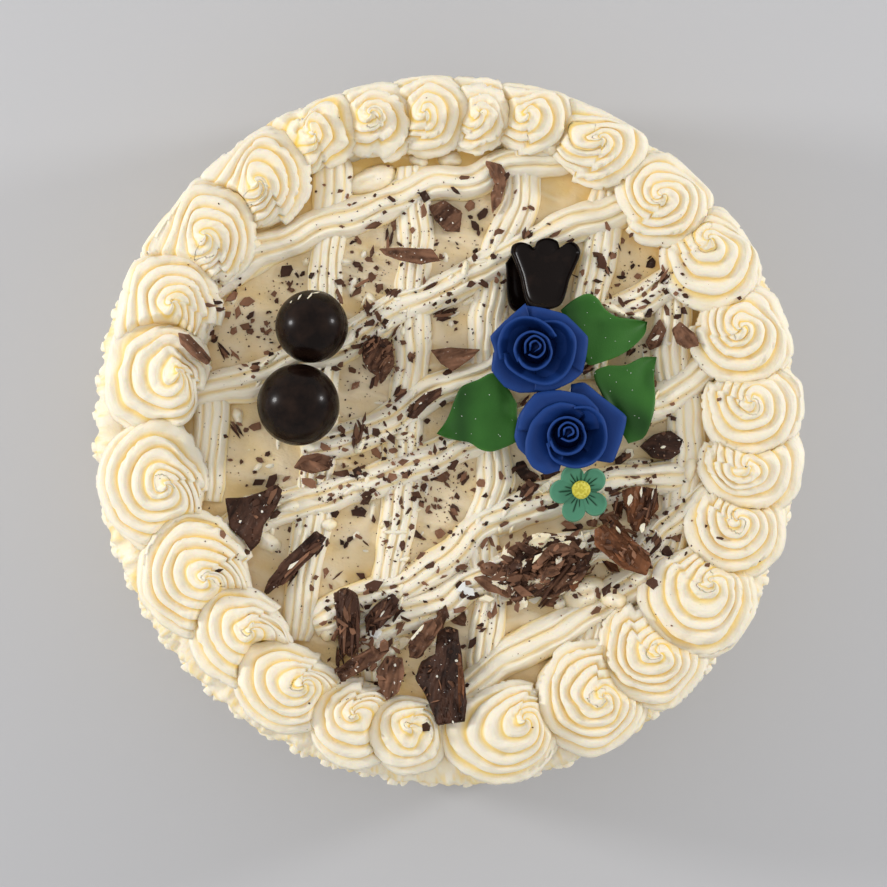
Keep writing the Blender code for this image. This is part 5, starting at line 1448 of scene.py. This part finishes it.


# flakes placed one by one: where, length and width (drawing units), lie in degrees, and d for dark, b for brown,
# s for a split bundle of splinters, w for a smear of cream, g for one on a ball that also stands in for a painted
# highlight, p for a white sugar speck
placedFlakes = (
    (286, 271, 19, 11, 55, "d"), (297, 275, 9, 3, -60, "d"), (425, 196, 16, 12, 80, "d"), (423, 212, 14, 8, 90, "b"),
    (394, 222, 20, 10, -50, "b"), (372, 226, 17, 8, 15, "b"), (384, 214, 6, 5, 0, "d"), (404, 214, 5, 4, 0, "d"),
    (388, 240, 18, 7, 80, "s"), (372, 252, 14, 5, 75, "b"), (360, 268, 9, 6, -70, "b"), (376, 268, 6, 5, 0, "d"),
    (366, 281, 26, 4, 30, "b"), (356, 240, 5, 4, 20, "d"), (352, 252, 4, 4, 0, "b"), (342, 228, 6, 3, -10, "b"),
    (324, 186, 5, 3, 0, "b"), (316, 192, 3, 3, 0, "d"), (340, 192, 7, 5, 30, "b"), (347, 197, 6, 3, 70, "b"),
    (349, 178, 6, 3, 20, "b"), (349, 207, 4, 3, 0, "b"), (388, 166, 4, 3, 0, "b"), (339, 297, 18, 5, -65, "b"),
    (357, 292, 15, 7, 45, "b"), (379, 288, 11, 7, 60, "b"), (393, 295, 15, 8, 50, "s"), (366, 308, 20, 8, -55, "s"),
    (378, 318, 15, 6, -60, "b"), (370, 324, 12, 7, 20, "d"), (402, 325, 34, 6, 48, "b"), (403, 343, 8, 5, -30, "b"),
    (431, 287, 17, 6, 35, "d"), (424, 283, 13, 3, 88, "b"), (438, 315, 15, 9, 25, "s"), (412, 357, 7, 6, 40, "b"),
    (232, 298, 15, 8, 40, "b"), (246, 302, 16, 10, 8, "b"), (214, 308, 19, 9, -8, "s"), (228, 315, 10, 8, 30, "b"),
    (238, 312, 14, 7, 82, "b"), (246, 326, 12, 10, -20, "b"), (234, 331, 9, 7, 60, "b"), (250, 332, 8, 6, 0, "b"),
    (268, 332, 11, 4, 35, "b"), (249, 317, 6, 5, 0, "d"), (274, 294, 8, 6, 15, "b"), (291, 290, 8, 5, -25, "b"),
    (214, 337, 13, 10, 40, "s"), (224, 352, 20, 6, -55, "s"), (236, 356, 16, 4, -50, "b"), (258, 368, 12, 9, 10, "s"),
    (254, 378, 6, 4, 0, "b"), (267, 353, 9, 5, 20, "b"), (270, 312, 4, 3, 0, "d"), (334, 368, 15, 7, -5, "d"),
    (352, 370, 10, 6, -30, "b"), (355, 385, 12, 7, 40, "b"), (399, 394, 16, 10, 45, "s"), (448, 373, 10, 7, 20, "d"),
    (246, 430, 6, 5, 0, "b"), (256, 427, 13, 9, 18, "b"), (268, 454, 8, 6, 50, "d"), (260, 460, 9, 5, -15, "b"),
    (231, 460, 6, 3, 0, "b"), (242, 462, 5, 4, 80, "b"), (255, 472, 5, 4, 0, "d"), (259, 482, 14, 8, 30, "d"),
    (272, 482, 22, 9, 60, "d"), (286, 479, 12, 4, 40, "b"), (276, 514, 14, 8, 20, "d"), (225, 534, 11, 7, -70, "b"),
    (316, 442, 12, 6, 20, "d"), (325, 448, 12, 8, -30, "b"), (333, 437, 10, 5, 35, "d"), (341, 430, 11, 7, -50, "b"),
    (345, 450, 8, 4, -10, "b"), (357, 438, 36, 9, 86, "s"), (364, 430, 16, 6, -70, "s"), (356, 463, 6, 4, 0, "d"),
    (376, 452, 18, 8, -62, "b"), (390, 437, 17, 9, -52, "d"), (393, 451, 10, 6, 10, "b"), (404, 434, 8, 4, 20, "b"),
    (412, 436, 7, 4, -30, "b"), (421, 444, 9, 4, -40, "b"), (427, 421, 9, 6, 0, "d"), (403, 462, 12, 7, 20, "b"),
    (343, 475, 18, 10, -8, "b"), (321, 477, 11, 5, 5, "b"), (310, 483, 18, 11, -30, "b"), (358, 474, 7, 6, 30, "b"),
    (378, 477, 11, 3, -48, "d"), (388, 481, 8, 4, -40, "d"), (331, 495, 8, 4, -10, "b"), (335, 500, 7, 3, 85, "b"),
    (320, 499, 4, 4, 0, "d"), (359, 512, 17, 14, 10, "d"), (397, 515, 5, 4, 0, "b"), (400, 501, 10, 5, 85, "b"),
    (408, 511, 11, 3, 48, "d"), (405, 475, 9, 7, 70, "b"), (425, 478, 10, 7, -20, "b"), (443, 477, 17, 10, 8, "b"),
    (424, 487, 9, 8, 60, "d"), (417, 486, 5, 4, 0, "b"), (417, 495, 14, 8, -20, "b"), (421, 504, 9, 6, -70, "b"),
    (446, 484, 11, 4, -50, "b"), (434, 507, 9, 3, -55, "b"), (454, 512, 17, 11, -40, "s"), (415, 534, 18, 9, -15, "d"),
    (440, 533, 12, 11, 12, "b"), (402, 545, 13, 7, 80, "d"), (421, 556, 11, 9, 30, "b"), (429, 565, 14, 9, 5, "d"),
    (350, 539, 10, 5, 45, "d"), (358, 536, 9, 4, -30, "b"), (366, 543, 9, 2, -45, "d"), (385, 541, 8, 4, 0, "b"),
    (389, 547, 5, 3, 0, "b"), (442, 548, 6, 5, 40, "d"), (436, 543, 7, 2, -20, "b"), (361, 575, 12, 8, -40, "d"),
    (374, 585, 19, 11, 14, "d"), (393, 586, 9, 8, -40, "b"), (338, 575, 14, 2, 40, "d"), (326, 572, 13, 7, 75, "b"),
    (316, 577, 7, 5, 30, "b"), (311, 587, 10, 5, -40, "b"), (331, 586, 7, 4, -60, "b"), (328, 608, 10, 6, -50, "d"),
    (328, 600, 5, 4, 0, "d"), (330, 621, 5, 3, 20, "d"), (424, 583, 10, 4, -30, "b"), (437, 570, 8, 3, 80, "b"),
    (443, 576, 9, 3, 25, "b"), (463, 477, 16, 10, 50, "s"), (482, 483, 11, 10, -5, "b"), (500, 476, 10, 5, -65, "b"),
    (484, 496, 7, 4, 15, "d"), (503, 524, 15, 5, 30, "b"), (453, 535, 5, 4, 0, "d"), (461, 566, 12, 7, -8, "b"),
    (484, 541, 17, 6, 70, "b"), (491, 541, 14, 6, -50, "b"), (498, 548, 9, 7, -30, "b"), (511, 536, 6, 4, 60, "b"),
    (529, 491, 24, 8, 45, "s"), (513, 470, 11, 6, 50, "d"), (541, 509, 11, 7, 10, "b"), (552, 506, 14, 11, 30, "d"),
    (527, 519, 6, 3, 0, "b"), (536, 521, 5, 3, 0, "b"), (607, 489, 9, 6, 0, "d"), (627, 456, 15, 12, 60, "b"),
    (634, 477, 13, 6, -10, "b"), (612, 493, 16, 6, 15, "s"), (677, 537, 11, 9, -12, "b"), (666, 551, 16, 10, -30, "d"),
    (655, 541, 14, 10, 60, "s"), (650, 583, 13, 11, 20, "d"), (604, 590, 17, 10, 55, "d"), (596, 593, 12, 6, -60, "b"),
    (594, 610, 12, 8, 35, "b"), (458, 609, 15, 9, 12, "b"), (460, 621, 14, 7, -30, "b"), (444, 613, 16, 9, 80, "d"),
    (480, 627, 10, 8, 20, "s"), (473, 641, 15, 7, 55, "d"), (463, 646, 6, 5, 0, "d"), (494, 610, 17, 6, 82, "b"),
    (515, 606, 11, 6, 80, "b"), (594, 523, 9, 8, 60, "b"), (603, 517, 12, 8, -20, "s"), (467, 590, 18, 9, -25, "p"),
    (461, 586, 12, 7, 55, "p"), (466, 582, 9, 5, -10, "b"), (486, 598, 17, 8, 5, "w"), (557, 562, 12, 5, 80, "w"),
    (470, 205, 13, 9, 70, "b"), (483, 213, 16, 9, 55, "d"), (475, 225, 16, 8, -50, "d"), (463, 179, 11, 5, 5, "b"),
    (506, 177, 10, 5, 75, "d"), (515, 192, 6, 2, 60, "b"), (524, 209, 6, 4, 10, "b"), (531, 208, 8, 4, -25, "b"),
    (527, 234, 14, 10, 75, "s"), (556, 233, 16, 5, 35, "b"), (548, 224, 5, 2, -20, "b"), (570, 240, 9, 4, 5, "d"),
    (607, 227, 12, 6, -65, "b"), (622, 239, 8, 7, 0, "b"), (631, 235, 7, 4, 50, "b"), (620, 246, 9, 2, -70, "d"),
    (601, 262, 18, 9, -70, "d"), (608, 271, 12, 5, -50, "s"), (624, 274, 10, 4, 85, "d"), (639, 275, 9, 7, 20, "b"),
    (663, 276, 18, 9, 52, "s"), (643, 294, 16, 6, -65, "b"), (654, 287, 17, 4, 55, "b"), (666, 290, 11, 8, 20, "d"),
    (675, 294, 6, 5, 0, "b"), (628, 302, 16, 5, 15, "d"), (649, 311, 10, 6, 45, "d"), (629, 314, 10, 5, -5, "b"),
    (611, 297, 12, 4, -65, "b"), (642, 307, 11, 4, 20, "b"), (676, 317, 7, 5, 0, "d"), (586, 283, 6, 3, 50, "b"),
    (470, 285, 12, 7, 20, "d"), (482, 284, 14, 8, -35, "d"), (449, 314, 22, 9, 15, "s"), (455, 322, 8, 4, 0, "d"),
    (503, 282, 8, 4, 30, "d"), (632, 350, 15, 6, 55, "s"), (588, 368, 20, 7, 35, "s"), (524, 404, 20, 6, 62, "s"),
    (655, 385, 11, 4, 85, "b"), (672, 404, 7, 5, 0, "b"), (562, 297, 8, 5, 30, "b"), (577, 276, 12, 2, -25, "d"),
    # plates of the heap
    (549, 583, 44, 5, 48, "s"), (560, 573, 40, 5, 50, "s"), (533, 566, 14, 6, 60, "b"),
    (530, 587, 22, 8, 30, "s"), (508, 602, 15, 7, 20, "b"), (545, 602, 26, 5, 45, "s"), (521, 559, 12, 8, 70, "d"),
    (505, 558, 15, 8, -20, "b"), (571, 545, 18, 8, -40, "b"),
    (590, 540, 13, 9, 80, "d"), (480, 563, 11, 7, 30, "b"), (513, 577, 19, 8, 15, "b"), (527, 576, 14, 7, -35, "b"),
    (500, 575, 26, 12, 10, "b"), (520, 590, 24, 10, -25, "b"), (540, 556, 22, 10, 35, "b"), (566, 560, 20, 9, -15, "b"),
    (512, 548, 16, 9, 20, "b"), (574, 535, 16, 8, 40, "b"), (535, 600, 16, 7, 15, "w"), (520, 563, 12, 5, 40, "w"),
    (503, 598, 18, 6, -10, "w"), (495, 558, 12, 6, 20, "w"),
    (556, 560, 14, 8, 78, "w"), 
    (534, 556, 14, 5, 50, "w"), 
    (587, 537, 14, 9, 70, "w"), (580, 545, 12, 6, 40, "w"), (526, 593, 12, 4, -20, "w"), 
    (650, 494, 11, 2, 80, "w"), (638, 492, 12, 3, 82, "w"), (627, 500, 13, 6, 75, "w"),
    (640, 527, 11, 5, 80, "w"), (656, 533, 9, 3, -50, "w"), (616, 530, 8, 3, -60, "w"), (644, 545, 12, 2, -48, "w"),
    (657, 553, 8, 5, -30, "w"), (606, 492, 10, 9, 80, "w"), (596, 517, 12, 7, 10, "w"), (545, 487, 20, 8, 42, "w"),
    (552, 497, 16, 6, 30, "w"), (630, 452, 12, 12, 60, "w"),
    # splits, layers and cream on the large shards
    (300, 561, 52, 9, 47, "s"), (290, 577, 34, 8, 50, "s"), (318, 547, 24, 9, 45, "s"), (294, 564, 17, 4, 40, "w"),
    (273, 497, 20, 13, 60, "s"), (345, 622, 60, 8, 84, "s"), (355, 640, 52, 8, 80, "s"),
    (340, 656, 44, 7, 88, "s"), (350, 606, 30, 10, 86, "s"), (386, 606, 30, 11, 55, "s"), (377, 380, 22, 9, 75, "s"),
    (372, 350, 20, 5, 50, "s"), (384, 362, 22, 5, 55, "s"), (652, 500, 26, 5, 76, "s"), (646, 510, 28, 5, 78, "s"),
    (616, 503, 22, 5, 80, "s"), (414, 409, 20, 8, 50, "s"), (432, 398, 26, 6, 38, "s"), (668, 343, 8, 5, 0, "w"),
    (655, 338, 10, 4, 30, "w"), (662, 447, 6, 3, 10, "w"), (600, 536, 10, 4, -70, "b"), (612, 527, 9, 5, -40, "b"),
    # cream smears on the upper ball: they also stand in for a painted highlight there
    (300, 303, 9, 1.7, 66, "g"), (310, 302, 9, 1.9, 55, "g"), (292, 307, 4, 1.2, 60, "g"), (316, 298, 7, 1.3, 18, "g"),
    (237, 430, 22, 6, -55, "s"), (240, 424, 8, 4, -40, "b"),
    # by the bundle and the plates below it
    (382, 690, 16, 9, 30, "b"), (424, 723, 12, 10, 10, "d"), (376, 633, 15, 9, 10, "p"), (402, 641, 20, 17, 10, "w"),
    (417, 630, 22, 4, 50, "w"),
    (368, 636, 6, 4, 40, "w"), (382, 612, 16, 2, 60, "w"), (439, 683, 13, 1.5, -75, "b"), (434, 698, 10, 1.5, 15, "b"),
    (395, 612, 20, 8, 58, "s"),
    (378, 618, 22, 7, 15, "s"), (400, 628, 18, 5, 60, "b"), (412, 640, 9, 6, 20, "d"), (405, 618, 12, 4, -30, "d"),
    (384, 604, 16, 7, 62, "s"), (716, 400, 6, 4, 20, "b"), (737, 299, 6, 5, 0, "d"), (668, 415, 7, 4, 40, "b"),
)


def flakeMesh(draw, length, wide, thick):
    # one broken flake: an uneven many-sided plate, a little curled
    sides = draw.integers(4, 7)
    turn = np.linspace(0.0, 2.0 * math.pi, sides, endpoint=False) + draw.uniform(-0.42, 0.42, sides)
    ring = np.column_stack([np.cos(turn) * length, np.sin(turn) * wide]) * draw.uniform(0.78, 1.12, (sides, 1))
    bend = draw.uniform(-0.20, 0.30) / max(length, 1e-6)
    arch = bend * ring[:, 0] ** 2
    low = np.column_stack([ring, arch - thick * 0.5])
    high = np.column_stack([ring * draw.uniform(0.84, 0.97), arch + thick * (0.5 + draw.uniform(-0.2, 0.2, sides))])
    faces = [list(range(sides - 1, -1, -1)), [sides + k for k in range(sides)]]
    faces += [[k, (k + 1) % sides, sides + (k + 1) % sides, sides + k] for k in range(sides)]
    return np.vstack([low, high]), faces


def landOn(spot, trees):
    best = None
    for tree in trees:
        hit, normal, _, _ = tree.ray_cast(Vector((*spot, 0.2)), downWay)
        if hit is not None and (best is None or hit.z > best[0].z):
            best = (hit, normal if normal.z > 0.0 else -normal)
    return best


def placed(points, land, draw, sink, tiltMost, spin=None):
    # laid on the surface below, leaning a little
    hit, normal = land
    spin = draw.uniform(0.0, 2.0 * math.pi) if spin is None else spin
    tilt = Vector((draw.normal(0.0, tiltMost), draw.normal(0.0, tiltMost), 1.0))
    up = (normal.normalized() * 0.8 + tilt.normalized() * 1.4).normalized()
    side = Vector((math.cos(spin), math.sin(spin), 0.0))
    side = (side - up * side.dot(up)).normalized()
    basis = np.array([side[:], up.cross(side)[:], up[:]])
    return points @ basis + np.array(hit[:]) + np.array(up[:]) * sink


def scatterPieces():
    draw = np.random.default_rng(7)
    kinds = {"flakesDark": ([], [], [], darkLook, "chocolate_dark"),
             "flakesBrown": ([], [], [], brownLook, "chocolate_brown"),
             "heapShavings": ([], [], [], brownLook, "chocolate_brown"),
             "crumbs": ([], [], [], brownLook, "chocolate_dark"),
             "creamBits": ([], [], [], creamLook, "cream"),
             "sugarSpecks": ([], [], [], sugarLook, "cream")}
    totals = {key: 0 for key in kinds}

    def put(key, points, faces, tone):
        store = kinds[key]
        store[0].append(points)
        store[1].extend([index + totals[key] for index in face] for face in faces)
        # the lower ring of each bit gets more tone: paler sides on the chocolate bits, painted shade at the foot of the
        # cream bits
        edge = np.where(np.arange(len(points)) < len(points) // 2, 0.35, 0.0)
        store[2].append(np.clip(tone + edge * (tone > 0.0), 0.0, 1.0))
        totals[key] += len(points)

    def spotIn(px, py, wide, deep):
        if wide > 150:
            ring = math.sqrt(draw.uniform(0.0, 1.0))
            turn = draw.uniform(0.0, 2.0 * math.pi)
            return plan(px + ring * wide * math.cos(turn), py + ring * deep * math.sin(turn))
        if draw.uniform() < 0.45:
            return plan(px + draw.uniform(-1.15, 1.15) * wide, py + draw.uniform(-1.15, 1.15) * deep)
        return plan(px + draw.normal(0.0, wide * 0.60), py + draw.normal(0.0, deep * 0.60))

    def freeLand(spot):
        if math.hypot(*spot) > 0.122:
            return None
        land = landOn(spot, carriers + toppings)
        block = landOn(spot, blockers)
        return None if land is None or (block is not None and block[0].z > land[0].z) else land

    for px, py, wide, deep, turned, count, lie, factor in heapAreas:
        for k in range(count):
            local = draw.normal(0.0, 0.55, 2) * np.array([wide, deep])
            angle = math.radians(turned)
            spot = plan(px + local[0] * math.cos(angle) + local[1] * math.sin(angle),
                        py - local[0] * math.sin(angle) + local[1] * math.cos(angle))
            land = freeLand(spot)
            if land is None:
                continue
            length = float(np.clip(draw.lognormal(0.35, 0.42), 0.6, 3.2)) * 0.001 * factor
            points, faces = flakeMesh(draw, length, length * draw.uniform(0.20, 0.55), draw.uniform(0.0004, 0.0010))
            spin = math.radians(lie + draw.normal(0.0, 38.0))
            high = 0.0022 * draw.uniform(0.0, 1.0) * math.exp(-float(np.hypot(*(local / (wide * 0.6, deep * 0.6)))))
            put("heapShavings", placed(points, land, draw, 0.0003 + high, 0.34, spin), faces, draw.uniform(0.10, 1.0))
    for px, py, wide, deep, flakes, crumbs, brown, factor in flakeAreas:
        for k in range(int(flakes * 0.55)):
            land = freeLand(spotIn(px, py, wide, deep))
            if land is None:
                continue
            length = float(np.clip(draw.lognormal(0.08, 0.50), 0.40, 3.0)) * 0.001 * factor
            points, faces = flakeMesh(draw, length, length * draw.uniform(0.35, 0.85), draw.uniform(0.0004, 0.0011))
            key = "flakesBrown" if draw.uniform() < brown else "flakesDark"
            put(key, placed(points, land, draw, 0.0002, 0.26), faces, draw.uniform(0.1, 0.9))
        for k in range(crumbs):
            land = freeLand(spotIn(px, py, wide * 1.15, deep * 1.15))
            if land is None:
                continue
            length = float(0.00010 + 0.00040 * draw.uniform() ** 1.8)
            points, faces = flakeMesh(draw, length, length * draw.uniform(0.6, 1.0), length * 0.8)
            put("crumbs", placed(points, land, draw, 0.00003, 0.3), faces, draw.uniform(0.0, 0.8))
    for px, py, long, wide, turned, kind in placedFlakes:
        parts = 3 if kind == "s" else 1
        for k in range(parts):
            angle = math.radians(turned + (draw.normal(0.0, 6.0) if parts > 1 else 0.0))
            aside = (k - (parts - 1) * 0.5) * wide / parts
            slide = draw.normal(0.0, 0.12) * long if parts > 1 else 0.0
            spot = plan(px - math.sin(angle) * aside + math.cos(angle) * slide,
                        py - math.cos(angle) * aside - math.sin(angle) * slide)
            land = landOn(spot, blockers) if kind == "g" else freeLand(spot)
            if land is None:
                continue
            half = 0.5 * long / planScale * (draw.uniform(0.7, 1.1) if parts > 1 else 1.08)
            halfWide = 0.5 * wide / planScale * (1.75 / parts if parts > 1 else 1.08)
            thick = min(0.0013, 0.00045 + 0.10 * halfWide * 2.0) * draw.uniform(0.8, 1.2)
            points, faces = flakeMesh(draw, half, halfWide, thick)
            key = {"d": "flakesDark", "b": "flakesBrown", "s": ("flakesDark", "flakesBrown")[k % 2],
                   "w": "creamBits", "g": "creamBits", "p": "sugarSpecks"}[kind]
            thick = 0.00025 if kind == "g" else thick
            rest = placed(points, land, draw, thick * (0.35 + 0.25 * (k % 2)), 0.10, angle)
            put(key, rest, faces, draw.uniform(0.25, 0.95) if kind in "dbs" else 0.12)
    # scraps of cream on the chocolate, and sugar grains on the leaves
    for tree, (low, high) in zip(toppings, [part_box(name) for name in (*shardLooks, "shaving_heap")]):
        area = (high[0] - low[0]) * (high[1] - low[1])
        for k in range(int(area * 1e6 * 0.045) + 1):
            land = landOn(draw.uniform(low[:2], high[:2]), [tree])
            if land is not None:
                length = float(0.00018 + 0.00060 * draw.uniform() ** 3)
                points, faces = flakeMesh(draw, length, length * draw.uniform(0.3, 1.0), length * 0.6)
                put("creamBits", placed(points, land, draw, 0.00005, 0.2), faces, 0.0)
    for piece in leafPieces:
        corners = np.array([vert.co[:2] for vert in piece.data.vertices])
        for k in range(16):
            land = landOn(draw.uniform(corners.min(axis=0), corners.max(axis=0)), [treeOf(piece)])
            if land is not None:
                length = draw.uniform(0.00010, 0.00024)
                points, faces = flakeMesh(draw, length, length * 0.8, length)
                put("sugarSpecks", placed(points, land, draw, 0.00003, 0.4), faces, 0.0)
    made = []
    for key, (points, faces, tones, look, slot) in kinds.items():
        tones = np.concatenate(tones)
        values = {"tone": tones} if slot != "cream" else {"groove": tones, "across": tones, "along": tones}
        nodes = ["shaving_heap"] if key == "heapShavings" else []
        made.append(makePiece(key, np.concatenate(points), faces, look, nodes, values, smooth=False))
    return made


looseBits = scatterPieces()
print("loose bits made", [len(piece.data.polygons) for piece in looseBits])


# floor, light and camera

def floorPiece():
    mesh = bpy.data.meshes.new("floor")
    mesh.from_pydata([(-3, -3, -0.0002), (3, -3, -0.0002), (3, 3, -0.0002), (-3, 3, -0.0002)], [], [(0, 1, 2, 3)])
    made = bpy.data.objects.new("floor", mesh)
    look = bpy.data.materials.new("floorPaint")
    look.use_nodes = True
    shader = look.node_tree.nodes["Principled BSDF"]
    shader.inputs["Base Color"].default_value = (0.50, 0.50, 0.515, 1.0)
    shader.inputs["Roughness"].default_value = 0.55
    mesh.materials.append(look)
    scene.collection.objects.link(made)


def softLight(name, place, size, power, colour=(1.0, 1.0, 1.0)):
    data = bpy.data.lights.new(name, "AREA")
    data.shape = "ELLIPSE"
    data.size, data.size_y = size
    data.energy = power
    data.color = colour
    made = bpy.data.objects.new(name, data)
    made.location = place
    made.rotation_euler = (Vector((0.0, 0.0, 0.07)) - Vector(place)).to_track_quat("-Z", "Y").to_euler()
    scene.collection.objects.link(made)


floorPiece()
softLight("leftBox", (-1.15, 0.22, 0.50), (0.22, 0.27), 7.3)
softLight("rightBox", (1.12, 0.33, 0.50), (0.20, 0.25), 5.3)
world = bpy.data.worlds.new("studio")
world.use_nodes = True
world.node_tree.nodes["Background"].inputs["Color"].default_value = (1.0, 1.0, 1.0, 1.0)
world.node_tree.nodes["Background"].inputs["Strength"].default_value = 0.765
scene.world = world
scene.view_settings.view_transform = "Standard"

cameraData = bpy.data.cameras.new("camera")
cameraObject = bpy.data.objects.new("camera", cameraData)
scene.collection.objects.link(cameraObject)
upward = (Vector((0.0, 1.0, 0.0)) - cameraBackward * cameraBackward.y).normalized()
axes = Matrix((upward.cross(cameraBackward), upward, cameraBackward)).transposed()
cameraObject.location = cameraSpot
cameraObject.rotation_euler = axes.to_euler()
cameraData.sensor_width = 36.0
cameraData.angle = 2.0 * math.atan(cameraFacts["width"] * 0.5 / cameraFacts["distance"])
cameraData.dof.use_dof = False
scene.camera = cameraObject
